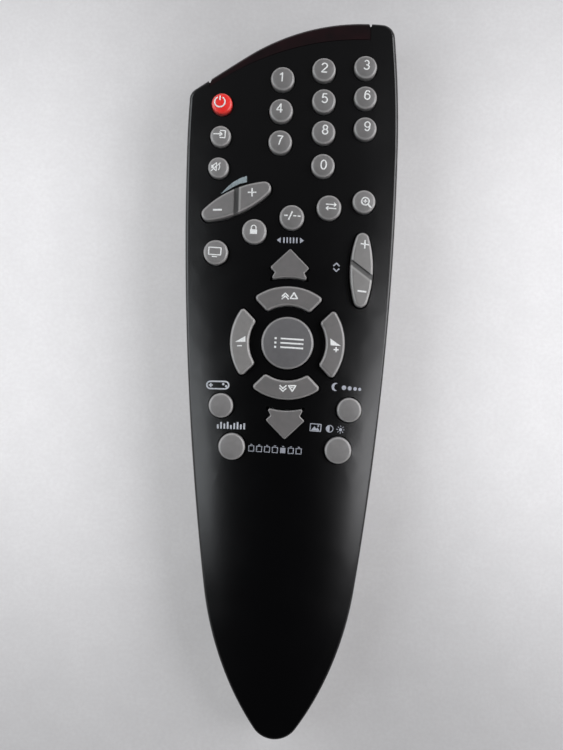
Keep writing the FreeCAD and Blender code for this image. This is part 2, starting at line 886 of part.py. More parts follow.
arrow_pill_radius = size("arrow_base_radius") + size("arrow_length") * size("arrow_pill_share")
for name, turn in (("scan", 0), ("calendar", 180)):
    middle = polar(ring_middle, size(f"{name}_shift"), turn + 90)

    def arrow(grow, turn=turn, middle=middle):
        return turned_face(arrow_face(grow), turn, middle.x, middle.y)

    spot = polar(middle, arrow_pill_radius, turn + 90)
    single_pill_key(name, arrow, size("arrow_corner"), size("arrow_edge"), spot)


def rocker(name):
    """A two-way key that tips about its middle, with a contact under each end."""
    x, y, turn, groove_turn = (size(f"{name}_{word}") for word in ("x", "y", "turn", "groove_turn"))
    half_length, half_width = size(f"{name}_half_length"), size(f"{name}_half_width")

    def outline(grow):
        return turned_face(lens_face(half_length, half_width, grow), turn, x, y)

    band = Part.makeBox(size("groove_width"), 4 * half_width, HIGH)
    band.translate(V(-size("groove_width") / 2, -2 * half_width, 0))
    band.rotate(V(0, 0, 0), V(0, 0, 1), groove_turn)
    band.translate(V(x, y, 0))
    band = band.cut(crown_body(size("groove_depth") - size("key_rise")))
    column = feature(f"{name}_column", shaped_key(outline, 0, size("key_edge"), band))
    reach = size("rocker_pill_reach")
    members = [column]
    for end, angle in (("far", turn), ("near", turn + 180)):
        spot = polar(V(x, y, 0), reach, angle)
        members.append(pill(f"{name}_{end}_contact", spot.x, spot.y, cell("rocker_pill_drop")))
    keep(group(f"key_{name}", members))
    shaped_holes(name, outline, 0, size("rocker_gap"))


rocker("volume")
rocker("channel")


# Circuit board and mat

def board_plan(inset):
    """The case outline drawn in, with its front edge set back and its tail cut square."""
    plan = case_outline(inset)
    behind = plan.copy()
    behind.translate(V(0, -size("board_front_back"), 0))
    plan = plan.common(behind)
    side = size("half_width")
    tail_y = size("board_tail_y")
    kept = Part.makePlane(2 * side, head_limit - tail_y, V(-side, tail_y, 0))
    return plan.common(kept).Faces[0]


board_blank = feature("board_blank", prism(board_plan(size("board_inset")), size("board_bottom"), board_top))
mat_plan = board_plan(size("board_inset") + size("mat_shrink"))
mat_blank = feature("mat_blank", prism(mat_plan, board_top, mat_top))

boss_bores = []
board_bores = []
bosses = []
for i, (x, y) in enumerate(BOSSES, start=1):
    bosses.append(cylinder(f"boss_{i}", x, y, (BOARD_TOP, HIGH), cell("boss_radius")))
    bore = f"({cell('screw_radius')} + {cell('thread_play')})"
    bore_top = f"({BOARD_TOP} + {cell('bore_depth')})"
    boss_bores.append(cylinder(f"bore_{i}", x, y, (cell("board_bottom"), bore_top), bore))
    wide = f"({cell('screw_radius')} + {cell('screw_play')})"
    board_bores.append(cylinder(f"board_bore_{i}", x, y, (0, HIGH), wide))
    clear = f"({cell('boss_radius')} + {cell('skirt_play')})"
    mat_holes.append(cylinder(f"boss_opening_{i}", x, y, (cell("board_bottom"), HIGH), clear))

keep(cut("circuit_board", board_blank, fused("board_bores", board_bores)))
keep(cut("keypad_mat", mat_blank, fused("mat_openings", mat_holes)))


# Battery bay, worked out from the cells

CELL_Z = f"({cell('door_thickness')} + {cell('cell_play')} + {cell('cell_radius')})"
BAY_ROOF = f"({CELL_Z} + {cell('cell_radius')} + {cell('cell_play')})"
BAY_HEAD = cell("bay_head_y")
CELL_RUN = f"({cell('cell_length')} + {cell('nub_height')})"
BAY_TAIL = f"({BAY_HEAD} - {CELL_RUN} - {cell('spring_length')} - 2 * {cell('contact_thickness')})"
BAY_HALF = f"({cell('cell_pitch')} / 2 + {cell('cell_radius')} + {cell('cell_play')})"
DOOR_HEAD = f"({BAY_HEAD} + {cell('door_overlap')})"
DOOR_TAIL = f"({BAY_TAIL} - {cell('door_tail_overlap')})"
BLOCK_TOP = f"({cell('door_thickness')} + {cell('ledge_thickness')})"
FLOOR_INSIDE = f"({cell('floor')} * 0.5)"
TAB_LOW = f"({cell('door_thickness')} + {cell('door_play')})"
TAB_HIGH = f"({TAB_LOW} + {cell('tab_thickness')})"
SIDES = (-1, 1)


def door_plan(grow):
    """The door seen from below: straight sides that draw in with the case at the tail."""
    half = size("door_half_width") + grow
    low = number(DOOR_TAIL) - grow
    high = number(DOOR_HEAD) + grow
    block = Part.makePlane(2 * half, high - low, V(-half, low, 0))
    return case_outline(size("door_inset") - grow).common(block).Faces[0]


# Upper shell

half_gap = size("parting_gap") / 2
parting = size("parting_height")
room = head_limit - tail_limit


def slab(low, high):
    """A wide flat block between two heights."""
    return Part.makeBox(room, 2 * room, high - low, V(-room / 2, -room, low))


lip_inset = wall_inset - size("lip_thickness")
lip_top = parting + size("lip_height")
recess = prism(case_outline(lip_inset - size("lip_play")), parting - SINK, lip_top + size("lip_play"))
upper_skin = upper_blank.cut(cavity).common(slab(parting + half_gap, HIGH)).cut(recess)
lip_ring = prism(case_outline(lip_inset), parting - SINK, lip_top).cut(
    prism(case_outline(wall_inset), parting - 2 * SINK, lip_top + SINK))
lower_skin = lower_blank.cut(cavity).fuse(lip_ring)

upper_solid_blank = feature("upper_blank", upper_blank)
upper_boss_low = f"({cell('parting_height')} + {cell('parting_gap')})"
bosses.append(cylinder("case_boss", 0, cell("case_screw_y"), (upper_boss_low, HIGH), cell("boss_radius")))
case_bore = f"({cell('case_screw_radius')} + {cell('thread_play')})"
bore_top = f"({cell('case_screw_tip')} + {cell('bore_depth')} - {cell('screw_reach')})"
boss_bores.append(cylinder("case_bore", 0, cell("case_screw_y"), (0, bore_top), case_bore))
boss_roots = common("boss_roots", fused("boss_columns", bosses), upper_solid_blank)
upper_body = fused("upper_body", [feature("upper_skin", upper_skin), boss_roots])

window_opening = feature("window_opening", window_region(size("window_gap")))
notch_cuts = [feature(f"notch_{end}", solid) for end, solid in zip(("left", "right"), notches)]
upper_cuts = case_holes + boss_bores + [window_opening] + notch_cuts
keep(cut("upper_case", upper_body, fused("upper_openings", upper_cuts)))


# Infrared window: a front wall with a lip over the top

window_hollow = prism(case_outline(size("shell_step") + size("window_wall")), 0, HIGH)
window_hollow = window_hollow.common(crown_body(size("top_wall")))
window_solid = upper_blank.common(window_region(0)).cut(window_hollow)
for solid in notches:
    window_solid = window_solid.cut(solid)
keep(feature("ir_window", max(window_solid.Solids, key=lambda part: part.Volume)))


# Lower shell with its posts, screw boss and battery bay

inside = prism(case_outline(wall_inset), size("floor") / 2, HIGH)
block_half = size("door_half_width") + size("ledge_width")
block_low = number(DOOR_TAIL) - 2 * size("ledge_width")
block_high = number(DOOR_HEAD) + size("ledge_width")
ledge_block = Part.makeBox(2 * block_half, block_high - block_low, number(BLOCK_TOP) - size("floor") / 2,
                           V(-block_half, block_low, size("floor") / 2)).common(inside)
wall = cell("bay_wall")
bay_block = box("bay_block", (f"-{BAY_HALF} - {wall}", f"{BAY_HALF} + {wall}"),
                (f"{BAY_TAIL} - {wall}", f"{BAY_HEAD} + {wall}"), (FLOOR_INSIDE, f"{BAY_ROOF} + {wall}"))
posts = [cylinder(f"post_{i}", x, y, (FLOOR_INSIDE, cell("board_bottom")), cell("post_radius"))
         for i, (x, y) in enumerate(POSTS, start=1)]
boss_top = f"({cell('parting_height')} - {cell('parting_gap')})"
screw_boss = cylinder("screw_boss", 0, cell("case_screw_y"), (FLOOR_INSIDE, boss_top),
                      cell("case_boss_radius"))
lower_body = fused("lower_body", [feature("lower_skin", lower_skin), feature("ledge_block", ledge_block),
                                  bay_block, screw_boss] + posts)

bay_space = box("bay_space", (f"-{BAY_HALF}", BAY_HALF), (BAY_TAIL, BAY_HEAD), (BELOW, BAY_ROOF))
door_seat = feature("door_seat", prism(door_plan(size("door_play")), BELOW,
                                       size("door_thickness") + size("door_seat_gap"), size("door_corner")))
latch_seat = box("latch_seat", centred(0, f"{cell('latch_width')} + 2 * {cell('door_play')}"),
                 (f"{DOOR_HEAD} - {SINK}", f"{DOOR_HEAD} + {cell('latch_reach')} + {cell('door_play')}"),
                 (BELOW, f"{cell('latch_thickness')} + {cell('door_play')}"))
lower_cuts = [bay_space, door_seat, latch_seat, window_opening] + notch_cuts
for side in SIDES:
    slot_width = f"{cell('tab_width')} + 2 * {cell('door_play')}"
    lower_cuts.append(box(f"tab_slot_{side + 2}", centred(f"{side} * {cell('tab_x')}", slot_width),
                          (f"{DOOR_TAIL} - {cell('tab_reach')} - {cell('door_play')}",
                           f"{DOOR_TAIL} + {TAB_HIGH} + {cell('tab_swing')}"),
                          (cell("door_thickness"), f"{TAB_HIGH} + 2 * {cell('tab_swing')}")))
    lower_cuts.append(box(f"tail_slot_{side + 2}",
                          centred(f"{side} * {cell('cell_pitch')} / 2",
                                  f"{cell('tail_width')} + 2 * {cell('tail_slot_play')}"),
                          (f"{BAY_HEAD} - {SINK}", f"{BAY_HEAD} + {wall} + {SINK}"),
                          (f"{cell('tail_low')} - {cell('tail_slot_play')}",
                           f"{cell('tail_low')} + {cell('contact_thickness')} + {cell('tail_slot_play')}")))
through = f"({cell('case_screw_radius')} + {cell('screw_play')})"
lower_cuts.append(cylinder("case_screw_hole", 0, cell("case_screw_y"), (BELOW, HIGH), through))
head_hole = f"({cell('case_screw_head_radius')} + {cell('screw_play')})"
lower_cuts.append(cylinder("case_screw_well", 0, cell("case_screw_y"),
                           (BELOW, cell("case_screw_seat")), head_hole))
keep(cut("lower_case", lower_body, fused("lower_openings", lower_cuts)))


# Battery door: plate, hinge tabs, latch tongue and a ribbed thumb grip

door_plate = feature("door_plate", prism(door_plan(0), 0, size("door_thickness"), size("door_corner")))
door_members = [door_plate]
for side in SIDES:
    across = centred(f"{side} * {cell('tab_x')}", cell("tab_width"))
    root = f"{DOOR_TAIL} + {cell('tab_root')}"
    door_members.append(box(f"tab_root_{side + 2}", across, (f"{DOOR_TAIL} + {cell('door_play')}", root),
                            (cell("door_thickness"), TAB_HIGH)))
    door_members.append(box(f"tab_{side + 2}", across, (f"{DOOR_TAIL} - {cell('tab_reach')}", root),
                            (TAB_LOW, TAB_HIGH)))
door_members.append(box("latch_tongue", centred(0, cell("latch_width")),
                        (f"{DOOR_HEAD} - {SINK}", f"{DOOR_HEAD} + {cell('latch_reach')}"),
                        (0, cell("latch_thickness"))))
grip_middle = f"({DOOR_HEAD} - {cell('grip_pocket_length')})"
grip_pocket = box("grip_pocket", centred(0, cell("grip_pocket_width")),
                  centred(grip_middle, cell("grip_pocket_length")), (BELOW, cell("grip_pocket_depth")))
rib_count = int((size("grip_pocket_length") - size("grip_rib_width")) / size("grip_rib_pitch"))
ribs = []
for i in range(rib_count):
    rib_y = f"{grip_middle} + {i - (rib_count - 1) / 2} * {cell('grip_rib_pitch')}"
    rib_length = f"{cell('grip_pocket_width')} - 2 * {cell('grip_rib_inset')}"
    ribs.append(box(f"grip_rib_{i + 1}", centred(0, rib_length),
                    centred(rib_y, cell("grip_rib_width")),
                    (f"{cell('grip_pocket_depth')} - {cell('grip_rib_height')}",
                     f"{cell('grip_pocket_depth')} + {cell('grip_rib_root')}")))
door_plain = cut("door_plain", fused("door_solid", door_members), grip_pocket)
keep(fused("battery_door", [door_plain] + ribs))


# Cells and contacts

def aim(thing, axis, angle):
    """Turns a body about one axis before its place is bound."""
    thing.Placement = FreeCAD.Placement(V(0, 0, 0), FreeCAD.Rotation(axis, angle))


def battery(label, side, angle, start):
    corners = [
        ("0", "0"), (cell("cell_radius"), "0"), (cell("cell_radius"), cell("cell_length")),
        (cell("nub_radius"), cell("cell_length")), (cell("nub_radius"), CELL_RUN), ("0", CELL_RUN),
    ]
    body = turned(label, corners)
    aim(body, V(1, 0, 0), angle)
    place(body, f"{side} * {cell('cell_pitch')} / 2", start, CELL_Z)
    keep(body)


THIN = cell("contact_thickness")
battery("battery_left", -1, -90, f"{BAY_HEAD} - {THIN} - {CELL_RUN}")
battery("battery_right", 1, 90, f"{BAY_TAIL} + {THIN} + {CELL_RUN}")


def coil(label, x, y, angle):
    """A contact spring along Y that starts at a plate."""
    wire = size("spring_wire")
    gap = size("spring_end_gap")
    run = size("spring_length") - 2 * wire - 2 * gap
    path = Part.Wire(Part.makeHelix(size("spring_pitch"), run, size("spring_radius")).Edges)
    ring = Part.Wire([Part.makeCircle(wire, V(size("spring_radius"), 0, 0), V(0, 1, 0))])
    spring = path.makePipeShell([ring], True, True)
    spring.translate(V(0, 0, wire + gap))
    spring.rotate(V(0, 0, 0), V(1, 0, 0), angle)
    spring.translate(V(number(x), number(y), number(CELL_Z)))
    return feature(label, spring)


def head_contact(label, side):
    """A plate at the head end of the bay with a tail that rises to the board."""
    x = f"{side} * {cell('cell_pitch')} / 2"
    plate = box(f"{label}_plate", centred(x, f"2 * {cell('contact_half_width')}"),
                (f"{BAY_HEAD} - {THIN}", BAY_HEAD), (cell("contact_low"), cell("contact_high")))
    far = f"{BAY_HEAD} + {cell('tail_reach')}"
    tail = box(f"{label}_tail", centred(x, cell("tail_width")), (f"{BAY_HEAD} - {THIN}", far),
               (cell("tail_low"), f"{cell('tail_low')} + {THIN}"))
    riser = box(f"{label}_riser", centred(x, cell("tail_width")), (f"{far} - {THIN}", far),
                (cell("tail_low"), cell("board_bottom")))
    return fused(f"{label}_strip", [plate, tail, riser])


plate_contact = head_contact("plate", -1)
plate_contact.Label = "plate_contact"
keep(plate_contact)
spring_x = f"{cell('cell_pitch')} / 2"
keep(group("spring_contact", [head_contact("spring", 1),
                              coil("head_coil", spring_x, f"{BAY_HEAD} - {THIN}", 90)]))
bridge = box("bridge_plate", centred(0, f"{cell('cell_pitch')} + 2 * {cell('contact_half_width')}"),
             (BAY_TAIL, f"{BAY_TAIL} + {THIN}"), (cell("contact_low"), cell("contact_high")))
keep(group("bridge_contact", [bridge, coil("tail_coil", f"-{spring_x}", f"{BAY_TAIL} + {THIN}", -90)]))


# Screws

def screw(label, x, y, low, head_radius, head_height, radius, tip):
    """A pan-head screw, head down, with a cross slot."""
    corners = [
        ("0", "0"), (f"{head_radius} * {HEAD_FACE}", "0"), (head_radius, f"{head_height} * {HEAD_SHOULDER}"),
        (head_radius, head_height), (radius, head_height), (radius, f"{tip} - {radius} * {POINT_LENGTH}"),
        (f"{radius} * {POINT_RADIUS}", tip), ("0", tip),
    ]
    body = turned(f"{label}_blank", corners)
    place(body, x, y, low)
    depth = (f"{low} - {SINK}", f"{low} + {head_height} * {CROSS_DEPTH}")
    width = f"{head_radius} * {CROSS_WIDTH}"
    length = f"{head_radius} * {CROSS_LENGTH}"
    slots = [box(f"{label}_slot_a", centred(x, length), centred(y, width), depth),
             box(f"{label}_slot_b", centred(x, width), centred(y, length), depth)]
    return cut(label, body, fused(f"{label}_cross", slots))


board_head_low = f"({cell('board_bottom')} - {cell('screw_head_height')})"
board_screw_length = f"({cell('screw_head_height')} + {cell('board_thickness')} + {cell('screw_reach')})"
board_screws = [screw(f"board_screw_{i}", x, y, board_head_low, cell("screw_head_radius"),
                      cell("screw_head_height"), cell("screw_radius"), board_screw_length)
                for i, (x, y) in enumerate(BOSSES, start=1)]
keep(group("board_screws", board_screws))
case_head_low = f"({cell('case_screw_seat')} - {cell('case_screw_head_height')})"
keep(screw("case_screw", "0", cell("case_screw_y"), case_head_low, cell("case_screw_head_radius"),
           cell("case_screw_head_height"), cell("case_screw_radius"),
           f"({cell('case_screw_tip')} - {case_head_low})"))


# Parts soldered under the board

BOARD = cell("board_bottom")


def pins(label, places, low):
    """Square pins from a height up to the board."""
    return [box(f"{label}_pin_{i}", centred(x, cell("pin_size")), centred(y, cell("pin_size")), (low, BOARD))
            for i, (x, y) in enumerate(places, start=1)]


led_corners = [
    ("0", "0"), (cell("led_flange_radius"), "0"), (cell("led_flange_radius"), cell("led_flange")),
    (cell("led_radius"), cell("led_flange")),
    (cell("led_radius"), f"({cell('led_length')} - {cell('led_radius')})"), ("0", cell("led_length")),
]
led_body = turned("led_lens", led_corners, cell("led_radius"))
LED_BACK = f"({cell('led_tip_y')} - {cell('led_length')})"
aim(led_body, V(1, 0, 0), -90)
place(led_body, cell("led_x"), LED_BACK, cell("led_height"))
led_members = [led_body]
for side in SIDES:
    x = f"{cell('led_x')} + {side} * {cell('pin_pitch')}"
    half_pin = f"{cell('pin_size')} / 2"
    leg_end = f"({LED_BACK} - {cell('led_leg')})"
    led_members.append(box(f"led_leg_{side + 2}", centred(x, cell("pin_size")), (leg_end, LED_BACK),
                           (f"{cell('led_height')} - {half_pin}", f"{cell('led_height')} + {half_pin}")))
    led_members += pins(f"led_{side + 2}", [(x, f"({leg_end} + {half_pin})")],
                        f"{cell('led_height')} - {half_pin}")
keep(fused("ir_led", led_members))

CHIP_TOP = f"({BOARD} - {cell('solder_gap')})"
chip_body = box("chip_body", centred(cell("chip_x"), cell("chip_length")),
                centred(cell("chip_y"), cell("chip_width")),
                (f"{CHIP_TOP} - {cell('chip_height')}", CHIP_TOP))
leg_count = int(size("chip_length") / size("chip_leg_pitch"))
chip_members = [chip_body]
for i in range(leg_count):
    x = f"{cell('chip_x')} + {i - (leg_count - 1) / 2} * {cell('chip_leg_pitch')}"
    span = f"{cell('chip_width')} + 2 * {cell('chip_leg_length')}"
    chip_members.append(box(f"chip_leg_{i + 1}", centred(x, cell("chip_leg_width")),
                            centred(cell("chip_y"), span),
                            (f"{CHIP_TOP} - {cell('chip_height')} / 2", BOARD)))
keep(fused("controller_chip", chip_members))

def pin_row(label, pitch, low):
    """Three pins in a row through the middle of a part, from a height up to the board."""
    x, y = cell(f"{label}_x"), cell(f"{label}_y")
    return pins(label, [(f"{x} + {step} * {pitch}", y) for step in (-1, 0, 1)], low)


resonator_high = f"({BOARD} - {cell('resonator_lift')})"
resonator = box("resonator_body", centred(cell("resonator_x"), cell("resonator_length")),
                centred(cell("resonator_y"), cell("resonator_width")),
                (f"{resonator_high} - {cell('resonator_height')}", resonator_high))
resonator_pins = pin_row("resonator", cell("resonator_pin_pitch"), f"{resonator_high} - {SINK}")
keep(fused("resonator", [resonator] + resonator_pins))

can_height = cell("capacitor_height")
can_radius = cell("capacitor_radius")
groove = cell("capacitor_groove")
groove_middle = f"{can_height} - {cell('capacitor_groove_low')}"
capacitor = turned("bulk_capacitor", [
    ("0", "0"), (can_radius, "0"), (can_radius, f"{groove_middle} - {groove}"),
    (f"{can_radius} - {groove}", groove_middle), (can_radius, f"{groove_middle} + {groove}"),
    (can_radius, can_height), ("0", can_height),
])
place(capacitor, cell("capacitor_x"), cell("capacitor_y"), f"{BOARD} - {can_height}")
keep(capacitor)

# A round transistor with one flat side
transistor_radius, transistor_height = size("transistor_radius"), size("transistor_height")
transistor_foot = V(size("transistor_x"), size("transistor_y"),
                    size("board_bottom") - size("transistor_lift") - transistor_height)
round_body = Part.makeCylinder(transistor_radius, transistor_height, transistor_foot)
flat_side = Part.makeBox(2 * transistor_radius, transistor_radius, transistor_height,
                         transistor_foot - V(transistor_radius, 1.5 * transistor_radius, 0))
transistor = feature("transistor_body", round_body.cut(flat_side))
transistor_pins = pin_row("transistor", cell("pin_pitch"), f"{BOARD} - {cell('transistor_lift')} - {SINK}")
keep(fused("transistor", [transistor] + transistor_pins))


def chips(label, places, dimensions):
    """A row of small surface-mounted parts under the board, as separate solids."""
    length, width, tall = dimensions
    layer = (f"{BOARD} - {tall}", BOARD)
    return group(label, [box(f"{label}_{i}", centred(x, length), centred(y, width), layer)
                         for i, (x, y) in enumerate(places, start=1)])


keep(chips("resistors", RESISTORS, RESISTOR_SIZE))
keep(chips("ceramic_capacitors", CERAMICS, CERAMIC_SIZE))


# Check everything, then write one file for each sub-part

doc.recompute()
faulty = [thing.Label for thing in doc.Objects if "Invalid" in thing.State or "Error" in thing.State]
if faulty:
    raise RuntimeError(f"objects left in error: {faulty}")
for name, thing in nodes.items():
    if thing.Shape.isNull() or not thing.Shape.isValid():
        raise RuntimeError(f"{name} has no valid shape")

os.makedirs("parts", exist_ok=True)
for name, thing in nodes.items():
    thing.Shape.exportStep(os.path.join("parts", f"{name}.step"))
    print(f"{name}: {len(thing.Shape.Solids)} solids, {thing.Shape.Volume:.1f} mm3")
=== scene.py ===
"""Television remote control: finishes, printed marks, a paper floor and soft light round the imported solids.

Lengths are in millimetres in the tables and turned to metres where a mesh is made.
X points right, Y to the infrared end and Z up through the keys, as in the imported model.
"""

import math

import bmesh
import bpy
from mathutils import Matrix, Vector
from mathutils.bvhtree import BVHTree


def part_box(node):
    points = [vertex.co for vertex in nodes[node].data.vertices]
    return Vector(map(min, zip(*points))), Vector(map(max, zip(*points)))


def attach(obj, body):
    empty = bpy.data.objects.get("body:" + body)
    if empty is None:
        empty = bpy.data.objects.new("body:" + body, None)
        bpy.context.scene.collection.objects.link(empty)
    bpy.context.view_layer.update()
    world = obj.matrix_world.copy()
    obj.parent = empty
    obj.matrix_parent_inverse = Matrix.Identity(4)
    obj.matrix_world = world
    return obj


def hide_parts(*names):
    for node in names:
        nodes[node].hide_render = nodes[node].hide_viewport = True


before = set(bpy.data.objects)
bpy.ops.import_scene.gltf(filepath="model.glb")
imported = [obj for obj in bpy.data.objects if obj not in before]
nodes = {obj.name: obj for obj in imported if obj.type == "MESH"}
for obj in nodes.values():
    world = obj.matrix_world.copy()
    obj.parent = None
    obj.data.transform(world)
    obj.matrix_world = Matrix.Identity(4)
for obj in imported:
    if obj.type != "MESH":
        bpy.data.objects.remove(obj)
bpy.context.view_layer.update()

MM = 0.001
MERGE = 0.001


# Shader nodes and colours

COLOURS = {"data_type": "RGBA"}
SMOOTH = {"interpolation_type": "SMOOTHSTEP"}


def linear(colour):
    """Six hex digits of sRGB as linear light with full alpha."""
    shares = [int(colour[i:i + 2], 16) / 255 for i in (0, 2, 4)]
    return [s / 12.92 if s <= 0.04045 else ((s + 0.055) / 1.055) ** 2.4 for s in shares] + [1.0]


def add(tree, kind, settings=None, inputs=None):
    """Adds a node, sets its properties, then sets its inputs or links them.

    A node given as an input stands for its output in use. The numbered inputs of a map range are the old low
    and high (1, 2) and the new ones (3, 4), which are 0 and 1 where they aren't given. Those of a mix are the
    share (0) and the two colours (6, 7), or the two values (2, 3).
    """
    made = tree.nodes.new("ShaderNode" + kind)
    for name, value in (settings or {}).items():
        setattr(made, name, value)
    for name, value in (inputs or {}).items():
        if isinstance(value, bpy.types.Node):
            value = next(output for output in value.outputs if output.enabled)
        if isinstance(value, bpy.types.NodeSocket):
            tree.links.new(value, made.inputs[name])
        else:
            made.inputs[name].default_value = value
    return made


def begin_finish(name):
    """A bare material, its tree, and coordinates in millimetres that stay with the piece."""
    made = bpy.data.materials.new(name)
    made.use_nodes = True
    tree = made.node_tree
    tree.nodes.clear()
    place = add(tree, "VectorMath", {"operation": "SCALE"}, {
        0: add(tree, "TexCoord").outputs["Object"], "Scale": 1 / MM})
    return made, tree, place


def end_finish(tree, inputs):
    """Gives a material its shader, with plain values and patterns on the shader's own sockets."""
    shader = add(tree, "BsdfPrincipled", inputs=inputs)
    add(tree, "OutputMaterial", inputs={"Surface": shader})


def mottled(tree, patches, low, high, first, second):
    """One hex colour that turns to another where patches rise from a low to a high value."""
    share = add(tree, "MapRange", inputs={"Value": patches, 1: low, 2: high})
    return add(tree, "Mix", COLOURS, {0: share, 6: linear(first), 7: linear(second)})


# Finishes

def moulded_abs(name, base, worn, rough, eroded):
    """Black ABS from a spark-eroded mould: fine satin grain with a soft sheen, polished a little by hands."""
    made, tree, place = begin_finish(name)
    handled = add(tree, "TexNoise", inputs={"Vector": place, "Scale": 1 / 14.0, "Detail": 3.0})
    # The real grain is about 0.05 mm across; it is drawn coarser so that it shows at this distance
    pitted = add(tree, "TexNoise", inputs={"Vector": place, "Scale": 1 / eroded})
    end_finish(tree, {
        "Base Color": mottled(tree, handled, 0.35, 0.75, base, worn),
        "IOR": 1.53,
        "Roughness": add(tree, "MapRange", inputs={
            "Value": handled, 1: 0.3, 2: 0.7, 3: rough + 0.02, 4: rough - 0.02}),
        "Normal": add(tree, "Bump", inputs={"Height": pitted, "Distance": 0.02 * MM, "Strength": 0.25})})
    return made


# A groove's floor is painted darker as painted shade, and a thin line on its lip paler as a painted highlight
GROOVE_HALF = 0.6
GROOVE_FADED = 0.85
GROOVE_PAINTED_SHADE = "5b5a59"
LIP_AWAY = 1.05
LIP_HALF = 0.1
LIP_FADED = 0.4
LIP_SHARE = 0.5
LIP_PAINTED_HIGHLIGHT = "b4b3b0"


def silicone(name, colour, deep, carbon_top, rim_highlight="d2d0cd", groove=None):
    """Dyed silicone rubber, lacquered against wear: soft grey and shiny, with a painted highlight on its
    rims.

    A groove is a direction across it in degrees, a point on its line and the side of its lip. Its floor is
    painted darker as painted shade, and a thin line on its lip paler as a painted highlight. Below the
    carbon's top the rubber is black.
    """
    made, tree, place = begin_finish(name)
    cloudy = add(tree, "TexNoise", inputs={"Vector": place, "Scale": 1 / 1.6, "Detail": 3.0})
    rubber = mottled(tree, cloudy, 0.3, 0.7, colour, deep)
    if groove:
        turn, x, y, lip_side = groove
        across = Vector((math.cos(math.radians(turn)), math.sin(math.radians(turn)), 0.0))
        along = add(tree, "VectorMath", {"operation": "DOT_PRODUCT"}, {0: place, 1: across})
        middle = add(tree, "Math", {"operation": "SUBTRACT"}, {0: along, 1: across.dot(Vector((x, y, 0.0)))})
        lip = add(tree, "Math", {"operation": "SUBTRACT"}, {0: middle, 1: lip_side * LIP_AWAY})
        # Painted shade along the groove's floor, then a painted highlight along its lip
        for line, half, faded, most, tint in (
                (middle, GROOVE_HALF, GROOVE_FADED, 1.0, GROOVE_PAINTED_SHADE),
                (lip, LIP_HALF, LIP_FADED, LIP_SHARE, LIP_PAINTED_HIGHLIGHT)):
            away = add(tree, "Math", {"operation": "ABSOLUTE"}, {0: line})
            share = add(tree, "MapRange", inputs={"Value": away, 1: half, 2: faded, 3: most, 4: 0.0})
            rubber = add(tree, "Mix", COLOURS, {0: share, 6: rubber, 7: linear(tint)})
    # Painted highlight: faces that tilt towards a rim are painted paler; flat tops and upright walls keep the
    # rubber's colour
    upright = add(tree, "SeparateXYZ", inputs={0: add(tree, "NewGeometry").outputs["Normal"]}).outputs["Z"]
    off_top = add(tree, "MapRange", inputs={"Value": upright, 1: 0.985, 2: 0.8, 3: 0.0, 4: 0.38})
    off_side = add(tree, "MapRange", inputs={"Value": upright, 1: 0.15, 2: 0.5})
    wear_and_painted_highlight = add(tree, "Math", {"operation": "MULTIPLY"}, {0: off_top, 1: off_side})
    rubber = add(tree, "Mix", COLOURS, {0: wear_and_painted_highlight, 6: rubber, 7: linear(rim_highlight)})
    height = add(tree, "SeparateXYZ", inputs={0: place}).outputs["Z"]
    is_carbon = add(tree, "Math", {"operation": "LESS_THAN"}, {0: height, 1: carbon_top})
    texture = add(tree, "TexNoise", inputs={"Vector": place, "Scale": 1 / 0.3})
    end_finish(tree, {
        "Base Color": add(tree, "Mix", COLOURS, {0: is_carbon, 6: rubber, 7: linear("141416")}),
        "IOR": 1.43, "Specular IOR Level": 0.7,
        "Subsurface Weight": 0.25, "Subsurface Scale": 0.6 * MM, "Subsurface Radius": (1.0, 0.95, 0.9),
        "Coat Weight": 0.7, "Coat Roughness": 0.33, "Sheen Weight": 0.15, "Sheen Roughness": 0.35,
        "Roughness": add(tree, "MapRange", inputs={"Value": cloudy, 1: 0.2, 2: 0.8, 3: 0.36, 4: 0.46}),
        "Normal": add(tree, "Bump", inputs={"Height": texture, "Distance": 0.012 * MM, "Strength": 0.4})})
    return made


def window_plastic():
    """Tinted polycarbonate, polished in the mould: nearly black with a deep red in it, and glossy."""
    made, tree, place = begin_finish("tinted_polycarbonate")
    streaks = add(tree, "TexNoise", inputs={"Vector": place, "Scale": 1 / 9.0})
    haze = add(tree, "TexNoise", inputs={"Vector": place, "Scale": 1 / 3.0})
    end_finish(tree, {
        "Base Color": mottled(tree, streaks, 0.35, 0.65, "0d0305", "1e070b"),
        "IOR": 1.58, "Specular IOR Level": 0.4, "Coat Weight": 0.12, "Coat Roughness": 0.05,
        "Roughness": add(tree, "MapRange", inputs={"Value": haze, 1: 0.3, 2: 0.7, 3: 0.12, 4: 0.2}),
        "Normal": add(tree, "Bump", inputs={"Height": streaks, "Distance": 0.05 * MM, "Strength": 0.3})})
    return made


def screen_ink(name, colour, thin):
    """Screen-printed ink: matt, slightly uneven where the squeegee left it thin."""
    made, tree, place = begin_finish(name)
    patchy = add(tree, "TexNoise", inputs={"Vector": place, "Scale": 1 / 0.45, "Detail": 4.0})
    end_finish(tree, {
        "Base Color": mottled(tree, patchy, 0.52, 0.72, colour, thin),
        "IOR": 1.48, "Specular IOR Level": 0.35,
        "Roughness": add(tree, "MapRange", inputs={"Value": patchy, 1: 0.2, 2: 0.8, 3: 0.5, 4: 0.65}),
        "Normal": add(tree, "Bump", inputs={"Height": patchy, "Distance": 0.004 * MM, "Strength": 0.5})})
    return made


